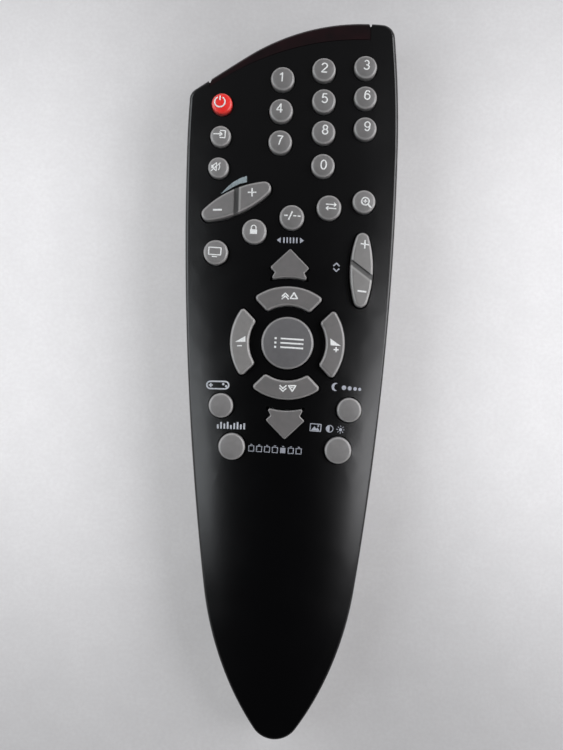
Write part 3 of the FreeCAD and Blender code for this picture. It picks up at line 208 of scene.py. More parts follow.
def metal(name, colour, dark, rough, brushed=(1.0, 1.0, 1.0)):
    """A plated or rolled metal, with faint streaks along its rolling direction where it is brushed."""
    made, tree, place = begin_finish(name)
    stretched = add(tree, "Mapping", inputs={"Vector": place, "Scale": brushed})
    streaks = add(tree, "TexNoise", inputs={"Vector": stretched, "Scale": 1 / 0.6, "Detail": 4.0})
    end_finish(tree, {
        "Base Color": mottled(tree, streaks, 0.3, 0.7, colour, dark),
        "Metallic": 1.0,
        "Roughness": add(tree, "MapRange", inputs={
            "Value": streaks, 1: 0.2, 2: 0.8, 3: rough - 0.06, 4: rough + 0.1}),
        "Normal": add(tree, "Bump", inputs={"Height": streaks, "Distance": 0.01 * MM, "Strength": 0.4})})
    return made


def two_part(name, body, body_rough, ends, is_end):
    """A small electronic part: a moulded or glazed body with metal ends or legs."""
    made, tree, place = begin_finish(name)
    speckle = add(tree, "TexNoise", inputs={"Vector": place, "Scale": 1 / 0.25, "Detail": 3.0})
    dusty = add(tree, "MapRange", inputs={"Value": speckle, 1: 0.3, 2: 0.75, 3: 0.0, 4: 0.5})
    surface = add(tree, "Mix", COLOURS, {0: dusty, 6: linear(body), 7: linear("6a6864")})
    end = is_end(tree, add(tree, "SeparateXYZ", inputs={0: place}))
    end_finish(tree, {
        "Base Color": add(tree, "Mix", COLOURS, {0: end, 6: surface, 7: linear(ends)}),
        "IOR": 1.55,
        "Metallic": end,
        "Roughness": add(tree, "MapRange", inputs={"Value": end, 3: body_rough, 4: 0.3}),
        "Normal": add(tree, "Bump", inputs={"Height": speckle, "Distance": 0.01 * MM, "Strength": 0.5})})
    return made


def solder_mask():
    """Glass-epoxy board under green solder mask, with copper tracks that show as paler raised lines."""
    made, tree, place = begin_finish("green_solder_mask")
    # Tracks about 0.3 mm wide and 0.9 mm apart
    tracks = add(tree, "TexBrick", {"offset": 0.5}, {
        "Vector": place, "Scale": 0.28, "Mortar Size": 0.045, "Mortar Smooth": 0.1,
        "Color1": (0, 0, 0, 1), "Color2": (0, 0, 0, 1), "Mortar": (1, 1, 1, 1)})
    weave = add(tree, "TexNoise", inputs={"Vector": place, "Scale": 1 / 0.4, "Detail": 3.0})
    mask = mottled(tree, weave, 0.3, 0.7, "0b3d22", "0e4a2a")
    end_finish(tree, {
        "Base Color": add(tree, "Mix", COLOURS, {0: tracks, 6: mask, 7: linear("2a7a48")}),
        "IOR": 1.52, "Coat Weight": 0.4, "Coat Roughness": 0.2,
        "Roughness": add(tree, "MapRange", inputs={"Value": weave, 1: 0.2, 2: 0.8, 3: 0.3, 4: 0.42}),
        "Normal": add(tree, "Bump", inputs={"Height": tracks, "Distance": 0.035 * MM, "Strength": 0.6})})
    return made


SLEEVE_BAND = 33.5
SLEEVE_LINE = 31.5
SLEEVE_LINE_HALF = 0.4


def cell_sleeve(name, start, towards):
    """Shrink sleeve of a dry cell: glossy printed film, teal with a pale band and line by the plus end."""
    made, tree, place = begin_finish(name)
    length = add(tree, "SeparateXYZ", inputs={0: place}).outputs["Y"]
    from_start = add(tree, "Math", {"operation": "SUBTRACT"}, {0: length, 1: start})
    along = add(tree, "Math", {"operation": "MULTIPLY"}, {0: from_start, 1: towards})
    band = add(tree, "Math", {"operation": "GREATER_THAN"}, {0: along, 1: SLEEVE_BAND})
    beside = add(tree, "Math", {"operation": "SUBTRACT"}, {0: along, 1: SLEEVE_LINE})
    away = add(tree, "Math", {"operation": "ABSOLUTE"}, {0: beside})
    line = add(tree, "Math", {"operation": "LESS_THAN"}, {0: away, 1: SLEEVE_LINE_HALF})
    pale = add(tree, "Math", {"operation": "MAXIMUM"}, {0: band, 1: line})
    printed = add(tree, "Mix", COLOURS, {0: pale, 6: linear("1f5c54"), 7: linear("c3c6c4")})
    wear = add(tree, "TexNoise", inputs={"Vector": place, "Scale": 1 / 2.5, "Detail": 3.0})
    wear_and_painted_highlight = add(tree, "MapRange", inputs={"Value": wear, 1: 0.45, 2: 0.75, 3: 0.0, 4: 0.25})
    end_finish(tree, {
        "Base Color": add(tree, "Mix", COLOURS, {0: wear_and_painted_highlight, 6: printed, 7: linear("8f9795")}),
        "IOR": 1.5, "Coat Weight": 0.5, "Coat Roughness": 0.12,
        "Roughness": add(tree, "MapRange", inputs={"Value": wear, 1: 0.2, 2: 0.8, 3: 0.28, 4: 0.4}),
        "Normal": add(tree, "Bump", inputs={"Height": wear, "Distance": 0.02 * MM, "Strength": 0.3})})
    return made


def away_from(axis, middle, reach):
    """A test for a share of 1 where a coordinate is further than a reach from a middle."""
    def test(tree, apart):
        offset = add(tree, "Math", {"operation": "SUBTRACT"}, {0: apart.outputs[axis], 1: middle})
        away = add(tree, "Math", {"operation": "ABSOLUTE"}, {0: offset})
        return add(tree, "Math", {"operation": "GREATER_THAN"}, {0: away, 1: reach})
    return test


def above(level):
    """A test for a share of 1 above a height."""
    def test(tree, apart):
        return add(tree, "Math", {"operation": "GREATER_THAN"}, {0: apart.outputs["Z"], 1: level})
    return test


def row_ends(first, pitch, reach):
    """A test for the two ends of each chip in a row along X."""
    def test(tree, apart):
        shifted = add(tree, "Math", {"operation": "SUBTRACT"}, {0: apart.outputs["X"], 1: first})
        within = add(tree, "Math", {"operation": "PINGPONG"}, {0: shifted, 1: pitch / 2})
        return add(tree, "Math", {"operation": "GREATER_THAN"}, {0: within, 1: reach})
    return test


KEY_FOOT = 13.89
case_top = moulded_abs("satin_abs", "020203", "030304", 0.22, 0.35)
case_bottom = moulded_abs("satin_abs_lower", "0a0a0b", "0d0d0f", 0.36, 0.5)
key_grey = silicone("grey_silicone", "858382", "7d7b7a", KEY_FOOT)
digit_grey = silicone("digit_grey_silicone", "7a7877", "737170", KEY_FOOT)
# Painted shade: a darker copy of the grey for the up, down, right, scan and calendar keys
painted_shade_pad_grey = silicone("pad_grey_silicone", "73706f", "6c6a69", KEY_FOOT)
contact_plate = metal("nickel_plated_spring_steel", "b9b6ae", "9a968d", 0.28, (0.2, 1.0, 1.0))

FINISHES = {
    "upper_case": case_top,
    "lower_case": case_bottom,
    "battery_door": case_bottom,
    "ir_window": window_plastic(),
    "circuit_board": solder_mask(),
    "keypad_mat": silicone("mat_silicone", "3a3b3d", "323335", 0.0, "4a4b4d"),
    "ir_led": two_part("smoked_epoxy_lens", "1c1826", 0.12, "c3c4c6", away_from("Y", 94.0, 4.4)),
    "controller_chip": two_part(
        "black_moulding_compound", "161616", 0.55, "c8c9ca", away_from("Y", 56.0, 3.82)),
    "resonator": two_part("orange_dipped_ceramic", "b5642a", 0.35, "c8c9ca", above(10.0)),
    "bulk_capacitor": two_part("printed_can_sleeve", "1b2b52", 0.3, "b8babc", away_from("Z", 7.5, 3.2)),
    "transistor": two_part("black_epoxy_case", "181818", 0.5, "c8c9ca", above(9.5)),
    "resistors": two_part("thick_film_resistor", "1a1a1c", 0.4, "cfd0d0", row_ends(-9.0, 4.0, 1.2)),
    "ceramic_capacitors": two_part("ceramic_chip", "a08060", 0.45, "cfd0d0", row_ends(-8.0, 5.0, 0.65)),
    "board_screws": metal("zinc_plated_steel", "a9abad", "83858a", 0.32),
    "case_screw": metal("black_zinc_screw", "4c4d50", "2f3033", 0.36),
    "key_power": silicone("red_silicone", "ff2a22", "f2241d", KEY_FOOT, "ff5f52"),
    # Painted shade: the menu key is painted a darker grey than the other keys
    "key_menu": silicone("painted_shade_grey_silicone", "6b6a6b", "656465", KEY_FOOT),
    # Painted light: the left ring key is painted a paler grey, as lit by the left lamp
    "key_left": silicone("painted_lit_grey_silicone", "8b8886", "83817f", KEY_FOOT),
    "key_volume": silicone(
        "grey_silicone_volume", "7c7978", "757372", KEY_FOOT, groove=(0.0, -15.3, 50.5, 1)),
    "key_channel": silicone(
        "grey_silicone_channel", "83817f", "7c7a78", KEY_FOOT, groove=(55.0, 20.4, 32.35, -1)),
}
for finish, names in {
    contact_plate: ("plate_contact", "spring_contact", "bridge_contact", "battery_left", "battery_right"),
    painted_shade_pad_grey: ("key_up", "key_down", "key_right", "key_scan", "key_calendar"),
    digit_grey: ("key_swap", "key_dash"),
}.items():
    FINISHES.update(dict.fromkeys(names, finish))
for name, piece in nodes.items():
    finish = FINISHES.get(name, digit_grey if "digit" in name else key_grey)
    piece.data.materials.clear()
    piece.data.materials.append(finish)


# Printed marks: thin shapes that follow the surface that carries them

INK_HEIGHT = 0.02
PIECE_STEP = 0.55
LEAN = -1.8
OUT_OF_REACH = 100.0
CORNER_SHARE = 0.4


def arc_points(centre, radius, start, end, steps, tall=1.0):
    """Points round a centre from one angle in degrees to another, stretched upwards by a share."""
    turns = [math.radians(start + (end - start) * i / steps) for i in range(steps + 1)]
    return [(centre[0] + radius * math.cos(t), centre[1] + radius * tall * math.sin(t)) for t in turns]


def round_points(centre, radius, corners, tall=1.0):
    """Points all the way round a centre, without the first one again."""
    return arc_points(centre, radius, 0, 360 - 360 / corners, corners - 1, tall)


def drawn(data, points, closed):
    """The mesh of a curve along points; the curve is then removed."""
    path = data.splines.new("POLY")
    path.points.add(len(points) - 1)
    for point, (x, y) in zip(path.points, points):
        point.co = (x, y, 0, 1)
    path.use_cyclic_u = closed
    holder = bpy.data.objects.new("outline", data)
    mesh = bpy.data.meshes.new_from_object(holder)
    bpy.data.objects.remove(holder)
    bpy.data.curves.remove(data)
    return mesh


def held_wide(points, width, closed):
    """The same line with a point close to each side of its corners, so that a bead narrows only there."""
    line = []
    for i, point in enumerate(points):
        here = Vector(point)
        before = Vector(points[i - 1]) if closed or i > 0 else here
        after = Vector(points[(i + 1) % len(points)]) if closed or i < len(points) - 1 else here
        reach, ahead = (here - before).length, (after - here).length
        if reach > 2 * width:
            line.append(here.lerp(before, CORNER_SHARE * width / reach))
        line.append(here)
        if ahead > 2 * width:
            line.append(here.lerp(after, CORNER_SHARE * width / ahead))
    return line


def stroke(points, width, closed=False):
    """A line of ink along points: a round bead pressed flat."""
    data = bpy.data.curves.new("line", "CURVE")
    data.dimensions = "3D"
    data.bevel_depth = width / 2
    data.bevel_resolution = 1
    data.use_fill_caps = not closed
    mesh = drawn(data, held_wide(points, width, closed), closed)
    mesh.transform(Matrix.Diagonal((1, 1, 2 * INK_HEIGHT / width, 1)))
    return mesh


def fill(points):
    """A filled outline."""
    data = bpy.data.curves.new("patch", "CURVE")
    data.dimensions = "2D"
    data.fill_mode = "BOTH"
    data.extrude = INK_HEIGHT
    return drawn(data, points, True)


def disc(centre, radius):
    """A filled round."""
    return fill(round_points(centre, radius, 32))


def ring(centre, radius, width):
    """A round line of ink."""
    return stroke(round_points(centre, radius, 24), width, True)


def cross(centre, arm, width):
    """Two lines of ink that cross at their middles."""
    x, y = centre
    return [stroke([(x - arm, y), (x + arm, y)], width), stroke([(x, y - arm), (x, y + arm)], width)]


def solid_piece(work, name, finishes):
    """A linked object from a finished bmesh, its faces turned outwards."""
    bmesh.ops.recalc_face_normals(work, faces=work.faces)
    mesh = bpy.data.meshes.new(name)
    work.to_mesh(mesh)
    work.free()
    for finish in finishes:
        mesh.materials.append(finish)
    piece = bpy.data.objects.new(name, mesh)
    bpy.context.scene.collection.objects.link(piece)
    return piece


def mark(name, carrier, body, centre, shapes, ink, turn=0.0, side=1):
    """Joins shapes about a centre, cuts them small and lays them on a carrier's top (1) or underside (-1)."""
    work = bmesh.new()
    for shape in shapes:
        work.from_mesh(shape)
        bpy.data.meshes.remove(shape)
    bmesh.ops.transform(work, verts=work.verts,
                        matrix=Matrix.Translation((*centre, 0)) @ Matrix.Rotation(math.radians(turn), 4, "Z"))
    bmesh.ops.remove_doubles(work, verts=work.verts, dist=MERGE)
    for axis, normal in ((0, Vector((1, 0, 0))), (1, Vector((0, 1, 0)))):
        low = min(v.co[axis] for v in work.verts)
        high = max(v.co[axis] for v in work.verts)
        for step in range(1, int((high - low) / PIECE_STEP) + 1):
            bmesh.ops.bisect_plane(work, geom=work.verts[:] + work.edges[:] + work.faces[:],
                                   plane_co=normal * (low + step * PIECE_STEP), plane_no=normal)
    solid = nodes[carrier].data
    surface = BVHTree.FromPolygons([v.co for v in solid.vertices], [list(p.vertices) for p in solid.polygons])
    for vertex in work.verts:
        outside = Vector((vertex.co.x, vertex.co.y, OUT_OF_REACH * side)) * MM
        hit = surface.ray_cast(outside, Vector((0, 0, -side)))[0]
        vertex.co = Vector((outside.x, outside.y, hit.z + vertex.co.z * MM))
    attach(solid_piece(work, name, [ink]), body)


key_ink = screen_ink("white_key_ink", "f2f3f1", "d0d2d2")
case_ink = screen_ink("pale_case_ink", "b0b3bc", "8a8d97")
bright_case_ink = screen_ink("bright_case_ink", "c9ccd2", "a4a7ae")
worn_case_ink = screen_ink("worn_case_ink", "9da0a8", "797c85")
wedge_ink = screen_ink("blue_grey_case_ink", "98a4a8", "748084")


def key_mark(name, offset, shapes):
    """A mark on a key's top, offset from the middle of the key."""
    low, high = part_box("key_" + name)
    centre = ((low.x + high.x) / 2 / MM + offset[0], (low.y + high.y) / 2 / MM + offset[1])
    mark("print_" + name, "key_" + name, "key_" + name, centre, shapes, key_ink, LEAN)


# Digits, each with its place on the key as the mould left it
DIGIT_OFFSETS = {"1": (-0.3, 0.3), "2": (0.1, 0.4), "3": (0.25, 0.45), "4": (-0.45, 0.5), "5": (0.2, 0.6),
                 "6": (0.45, 0.6), "7": (-0.1, 0.3), "8": (0.4, 0.6), "9": (0.5, 0.5), "0": (0.15, 0.15)}

# Each digit's centre line in a cell one unit tall, its lines open unless marked closed
SIX = [(round_points((0, -0.19), 0.29, 24, 1.07), True),
       ([(0.25, 0.3), (0.17, 0.45), (0.02, 0.5), (-0.14, 0.44), (-0.25, 0.25), (-0.29, -0.15)], False)]
DIGIT_LINES = {
    "0": [(round_points((0, 0), 0.29, 24, 1.72), True)],
    "1": [([(-0.22, 0.24), (-0.06, 0.34), (0.06, 0.5), (0.06, -0.5)], False)],
    "2": [(arc_points((0, 0.22), 0.29, 170, -35, 12, 0.97) + [(-0.32, -0.5), (0.31, -0.5)], False)],
    "3": [(arc_points((-0.02, 0.25), 0.25, 155, -90, 12)
           + arc_points((-0.02, -0.24), 0.29, 90, -160, 12, 0.9), False)],
    "4": [([(0.13, -0.5), (0.13, 0.5), (-0.33, -0.2), (0.33, -0.2)], False)],
    "5": [([(0.25, 0.5), (-0.18, 0.5), (-0.26, 0.02)]
           + arc_points((-0.01, -0.18), 0.3, 130, -155, 14, 1.07), False)],
    "6": SIX,
    "7": [([(-0.3, 0.5), (0.3, 0.5), (0.08, 0.12), (-0.1, -0.5)], False)],
    "8": [(round_points((0, 0.26), 0.23, 24, 1.04), True), (round_points((0, -0.24), 0.29, 24, 0.9), True)],
    "9": [([(-x, -y) for x, y in line], closed) for line, closed in SIX],
}
DIGIT_TALL = 2.5
DIGIT_WEIGHT = 0.39
for digit, offset in DIGIT_OFFSETS.items():
    key_mark("digit_" + digit, offset, [
        stroke([(x * DIGIT_TALL, y * DIGIT_TALL) for x, y in line], DIGIT_WEIGHT, closed)
        for line, closed in DIGIT_LINES[digit]])

# Symbols on the other keys
key_mark("power", (-0.6, 0.35), [
    stroke(arc_points((0, 0), 1.45, 118, 422, 24), 0.42), stroke([(0, 0.45), (0, 1.75)], 0.42)])
key_mark("source", (-0.3, 0.45), [
    stroke([(0.1, 1.0), (1.6, 1.0), (1.6, -1.0), (0.1, -1.0)], 0.34),
    stroke([(-1.7, 0), (0.7, 0)], 0.34), stroke([(0.0, 0.62), (0.75, 0), (0.0, -0.62)], 0.34)])
key_mark("mute", (-0.7, 0.1), [
    fill([(-1.3, -0.45), (-0.75, -0.45), (-0.75, 0.45), (-1.3, 0.45)]),
    stroke([(-0.75, 0.42), (0.15, 1.15), (0.15, -1.15), (-0.75, -0.42)], 0.3, True),
    stroke(arc_points((-0.3, 0), 1.35, -42, 42, 8), 0.3),
    stroke([(-1.3, -1.2), (1.25, 1.2)], 0.3)])
key_mark("lock", (-0.2, 0.25), [
    fill([(-1.0, -1.05), (1.0, -1.05), (1.0, 0.2), (-1.0, 0.2)]),
    stroke([(-0.66, 0.15), (-0.66, 0.7)] + arc_points((0, 0.7), 0.66, 180, 0, 8) + [(0.66, 0.15)], 0.32)])
key_mark("display", (-0.25, 0.1), [
    stroke([(-1.7, -0.85), (1.7, -0.85), (1.7, 1.15), (-1.7, 1.15)], 0.34, True),
    stroke([(-0.75, -1.4), (0.75, -1.4)], 0.32)])
key_mark("dash", (0.0, 0.35), [
    stroke([(-2.15, 0), (-1.2, 0)], 0.44), stroke([(-0.9, -1.2), (0.05, 1.2)], 0.42),
    stroke([(0.4, 0), (1.2, 0)], 0.42), stroke([(1.6, 0), (2.4, 0)], 0.42)])
key_mark("swap", (0.55, 0.3), [
    stroke([(-1.5, 0.5), (1.3, 0.5)], 0.34), stroke([(0.75, 1.05), (1.4, 0.5), (0.75, 0.0)], 0.3),
    stroke([(1.5, -0.6), (-1.3, -0.6)], 0.34), stroke([(-0.75, -0.05), (-1.4, -0.6), (-0.75, -1.15)], 0.3)])
key_mark("zoom", (0.55, -0.25), [
    ring((-0.25, 0.25), 1.05, 0.42), stroke([(0.5, -0.5), (1.5, -1.45)], 0.54)]
    + cross((-0.25, 0.25), 0.55, 0.34))
key_mark("menu", (0.55, -0.1), [
    shape for row in (1.2, 0.0, -1.2) for shape in (
        stroke([(-2.5, row), (3.9, row)], 0.5),
        fill([(-4.2, row - 0.28), (-3.6, row - 0.28), (-3.6, row + 0.28), (-4.2, row + 0.28)]))])

# Marks on the ring keys and the rockers, in their own places
for name, shapes in {
    "up": [stroke([(-1.7, 24.05), (-0.75, 25.0), (0.2, 24.05)], 0.38),
           stroke([(-1.7, 23.3), (-0.75, 24.25), (0.2, 23.3)], 0.38),
           stroke([(0.65, 23.55), (2.65, 23.6), (1.65, 25.2)], 0.42, True)],
    "down": [stroke([(-1.55, -0.55), (-0.6, -1.5), (0.35, -0.55)], 0.38),
             stroke([(-1.55, -1.35), (-0.6, -2.3), (0.35, -1.35)], 0.38),
             stroke([(0.95, -0.65), (2.95, -0.6), (2.0, -2.2)], 0.42, True),
             stroke([(1.6, -1.12), (2.35, -1.1)], 0.3)],
    "left": [fill([(-14.38, 11.09), (-11.43, 11.18), (-11.48, 12.79)]),
             stroke([(-13.73, 10.0), (-12.38, 10.05)], 0.4)],
    "right": [fill([(12.15, 12.85), (12.3, 10.95), (15.21, 10.87)])] + cross((13.86, 9.78), 0.72, 0.42),
    "volume": [stroke([(-12.1, 52.84), (-9.7, 52.92)], 0.4), stroke([(-10.87, 51.7), (-10.93, 54.1)], 0.4),
               stroke([(-21.75, 47.8), (-19.2, 47.86)], 0.56)],
    "channel": [stroke([(19.85, 39.64), (22.25, 39.38)], 0.4), stroke([(21.02, 38.3), (21.08, 40.7)], 0.4),
                stroke([(19.32, 26.42), (21.88, 26.22)], 0.56)],
}.items():
    mark("print_" + name, "key_" + name, "key_" + name, (0, 0), shapes, key_ink)


# Marks on the case

def row_of_day_boxes():
    """A week of small boxes, one of them filled."""
    boxes = []
    for i in range(7):
        x = (i - 3) * 2.22
        square = [(x - 0.72, -0.75), (x + 0.72, -0.75), (x + 0.72, 0.75), (x - 0.72, 0.75)]
        boxes.append(fill(square) if i == 4 else stroke(square, 0.26, True))
        boxes.append(stroke([(x - 0.3, 1.12), (x + 0.3, 1.12)], 0.26))
    return boxes


def level_bars():
    """A row of level bars of changing height."""
    tops = (0.2, 0.9, 0.5, 1.0, 0.15, 0.7, 1.0, 0.4, 0.75)
    return [stroke([((i - 4) * 0.94, -1.0), ((i - 4) * 0.94, top)], 0.5) for i, top in enumerate(tops)]


def picture_row():
    """A framed hill with a sun, a half-filled disc and a small sun with rays."""
    rays = []
    for i in range(8):
        x, y = math.cos(math.radians(45 * i)), math.sin(math.radians(45 * i))
        rays.append(stroke([(3.7 + 0.72 * x, 0.72 * y), (3.7 + 1.15 * x, 1.15 * y)], 0.22))
    return [stroke([(-4.9, -1.0), (-1.9, -1.0), (-1.9, 1.0), (-4.9, 1.0)], 0.28, True),
            fill([(-4.6, -0.8), (-3.75, 0.35), (-3.2, -0.3), (-2.8, 0.05), (-2.15, -0.8)]),
            disc((-2.65, 0.5), 0.25),
            ring((0.6, 0), 0.95, 0.26),
            fill(arc_points((0.6, 0), 0.95, 90, 270, 14)),
            disc((3.7, 0), 0.45)] + rays


CASE_MARKS = {
    "print_sweep": ((0.2, 40.1), 0.5, [
        fill([(-3.8, 0), (-2.7, 0.8), (-2.7, -0.8)]), fill([(3.8, 0), (2.7, -0.8), (2.7, 0.8)])]
        + [stroke([(x, -0.8), (x, 0.8)], 0.42) for x in (-1.8, -0.9, 0.0, 0.9, 1.8)]),
    "print_channel_arrows": ((13.37, 33.0), -1.0, [
        stroke([(-0.85, 0.35), (0, 1.15), (0.85, 0.35)], 0.4),
        stroke([(-0.85, -0.35), (0, -1.15), (0.85, -0.35)], 0.4)]),
    "print_game": ((-19.0, -1.15), 1.0, [
        stroke(arc_points((-2.1, 0), 1.05, 90, 270, 8) + arc_points((2.1, 0), 1.05, -90, 90, 8), 0.46, True),
        disc((1.6, 0.3), 0.34), disc((2.4, -0.3), 0.34)] + cross((-2.0, 0), 0.6, 0.4)),
    "print_sleep": ((16.8, -0.8), -4.0, [
        fill(arc_points((-2.6, 0), 1.15, 60, 300, 20) + arc_points((-2.0, 0), 1.0, 262, 98, 14)),
        disc((-0.2, 0.0), 0.64), disc((1.45, 0.0), 0.58), disc((3.0, 0.0), 0.52), disc((4.35, 0.0), 0.45)]),
    "print_sound": ((-14.9, -12.4), 0.5, level_bars()),
    "print_picture": ((12.3, -12.4), -3.5, picture_row()),
    "print_calendar": ((-2.3, -18.8), -1.5, row_of_day_boxes()),
}
CASE_INKS = {"print_game": bright_case_ink, "print_sound": bright_case_ink, "print_calendar": worn_case_ink}
for name, (centre, turn, shapes) in CASE_MARKS.items():
    mark(name, "upper_case", "case", centre, shapes, CASE_INKS.get(name, case_ink), turn)

mark("print_volume_ramp", "upper_case", "case", (0, 0), [
    fill([(-19.84, 52.73), (-18.2, 54.55), (-16.4, 56.15), (-14.5, 57.25), (-12.59, 57.99), (-12.53, 56.19),
          (-14.4, 55.75), (-16.2, 54.9), (-18.0, 53.8)])], wedge_ink)


# Webs that bridge the inner half of the V notch at each end of the window, a little below the top

NOTCH_POINTS = {"left": (-24.0, 83.7), "right": (21.1, 101.0)}
NOTCH_SPREAD = 0.28
WEB_REACH = 0.95
WEB_OVERLAP = 0.04
WEB_LOW = 4.9
WEB_HIGH = 17.3
for end, (x, y) in NOTCH_POINTS.items():
    half = WEB_REACH * NOTCH_SPREAD + WEB_OVERLAP
    work = bmesh.new()
    corners = [(x, y - WEB_OVERLAP), (x + half, y + WEB_REACH), (x - half, y + WEB_REACH)]
    foot = work.faces.new([work.verts.new((a * MM, b * MM, WEB_LOW * MM)) for a, b in corners])
    raised = bmesh.ops.extrude_face_region(work, geom=[foot])["geom"]
    bmesh.ops.translate(work, verts=[part for part in raised if isinstance(part, bmesh.types.BMVert)],
                        vec=(0, 0, (WEB_HIGH - WEB_LOW) * MM))
    web = solid_piece(work, "notch_web_" + end, [case_top])
    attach(web, "case")


# Dry cells, turned in place of the plain cylinders: crimped sleeve, end plates and a raised plus cap

CELL_TURNS = 64
CELL_Z = 7.1
PLUS_ALONG = 38.5
MINUS_ALONG = 5.0
SLEEVE_PROFILE = [(4.25, 0.25), (4.3, 0.1), (4.65, 0.0), (5.05, 0.15), (5.25, 0.55), (5.25, 21.7),
                  (5.25, 42.8), (5.05, 43.25), (4.65, 43.4), (4.3, 43.3), (4.25, 43.05)]
MINUS_PROFILE = [(0.0, 0.0), (2.9, 0.0), (3.1, 0.12), (3.35, 0.22), (4.25, 0.25)]
PLUS_PROFILE = [(4.25, 43.05), (3.2, 43.0), (2.9, 43.15), (2.0, 43.2), (1.92, 43.3), (1.9, 44.2),
                (1.72, 44.42), (1.45, 44.5), (0.0, 44.5)]
sleeve_ink = screen_ink("dark_sleeve_ink", "22282a", "2c3335")
pale_sleeve_ink = screen_ink("pale_sleeve_ink", "d8dad8", "c4c7c5")


def turned(work, profile, finish_index):
    """Spins a profile of radius and height about Z and marks its faces with a finish."""
    line = [work.verts.new((radius, 0.0, height)) for radius, height in profile]
    edges = [work.edges.new(pair) for pair in zip(line, line[1:])]
    before = set(work.faces)
    bmesh.ops.spin(work, geom=line + edges, cent=(0, 0, 0), axis=(0, 0, 1), angle=math.tau, steps=CELL_TURNS,
                   use_merge=True, use_duplicate=False)
    for face in work.faces:
        if face not in before:
            face.material_index = finish_index
            face.smooth = True


def dry_cell(name, node, x, start, towards):
    """A cell with its minus plate at a start along Y and its cap towards one end, which replaces a node."""
    work = bmesh.new()
    for profile, finish_index in ((SLEEVE_PROFILE, 0), (MINUS_PROFILE, 1), (PLUS_PROFILE, 1)):
        turned(work, profile, finish_index)
    bmesh.ops.remove_doubles(work, verts=work.verts, dist=MERGE)
    laid = Matrix.Translation((x, start, CELL_Z)) @ Matrix.Rotation(math.radians(-90 * towards), 4, "X")
    bmesh.ops.transform(work, verts=work.verts, matrix=Matrix.Diagonal((MM, MM, MM, 1)) @ laid)
    cell = solid_piece(work, name, [cell_sleeve(name + "_sleeve", start, towards), contact_plate])
    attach(cell, "case")
    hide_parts(node)
    for sign, along, shapes, ink in (
            ("plus", PLUS_ALONG, cross((0, 0), 1.3, 0.5), sleeve_ink),
            ("minus", MINUS_ALONG, [stroke([(-1.3, 0), (1.3, 0)], 0.5)], pale_sleeve_ink)):
        mark("print_" + sign + "_" + name, node, "case", (x, start + towards * along), shapes, ink, side=-1)


dry_cell("cell_left", "battery_left", -5.6, -70.4, 1)
dry_cell("cell_right", "battery_right", 5.6, -31.0, -1)


# Stage: paper floor, two soft lamps and a room that is pale at its walls and dark overhead

FLOOR_DROP = 0.1
FLOOR_REACH = 4000.0
CONTACT = 3.0
PAPER_GLOW = 0.4
PAPER_BRIGHT = 1.2
PAPER_FAR = 0.62
TAIL_END = (-4.0, -98.0, -FLOOR_DROP)


def paper_shade(tree, place):
    """Painted shade on the paper: the share of its full tone that it shows, a little less between the lamps
    and towards both ends, and a paler patch of painted light round the tail.
    """
    apart = add(tree, "SeparateXYZ", inputs={0: place})
    x, y = apart.outputs["X"], apart.outputs["Y"]
    # Painted shade, darkest midway between the lamps, on a line that turns aside by the tail
    darkest = add(tree, "MapRange", inputs={"Value": y, 1: -100.0, 2: -20.0, 3: 25.0, 4: 0.0})
    offset = add(tree, "Math", {"operation": "SUBTRACT"}, {0: x, 1: darkest})
    aside = add(tree, "Math", {"operation": "ABSOLUTE"}, {0: offset})
    between = add(tree, "MapRange", SMOOTH, {"Value": aside, 1: 15.0, 2: 80.0, 3: 0.24, 4: 0.0})
    amid = add(tree, "MapRange", SMOOTH, {"Value": y, 1: -200.0, 2: -10.0})
    taken = add(tree, "Math", {"operation": "MULTIPLY"}, {0: between, 1: amid})
    shade = add(tree, "Math", {"operation": "SUBTRACT"}, {0: 1.0, 1: taken})
    # Painted shade towards both ends, and painted light round the tail where the two lamps meet,
    # so that the shadow there hardly shows
    from_tail = add(tree, "VectorMath", {"operation": "DISTANCE"}, {0: place, 1: TAIL_END})
    for reach, full, even, share in (
            (y, -125.0, 0.0, 0.6), (y, 150.0, 45.0, 0.72), (from_tail, 6.0, 40.0, 1.18)):
        part = add(tree, "MapRange", SMOOTH, {"Value": reach, 1: full, 2: even, 3: share, 4: 1.0})
        shade = add(tree, "Math", {"operation": "MULTIPLY"}, {0: shade, 1: part})
    # Away from the handset the shade is even
    away = add(tree, "VectorMath", {"operation": "LENGTH"}, {0: place})
    far_off = add(tree, "MapRange", SMOOTH, {"Value": away, 1: 140.0, 2: 380.0})
    return add(tree, "Mix", {"data_type": "FLOAT"}, {0: far_off, 2: shade, 3: PAPER_FAR})


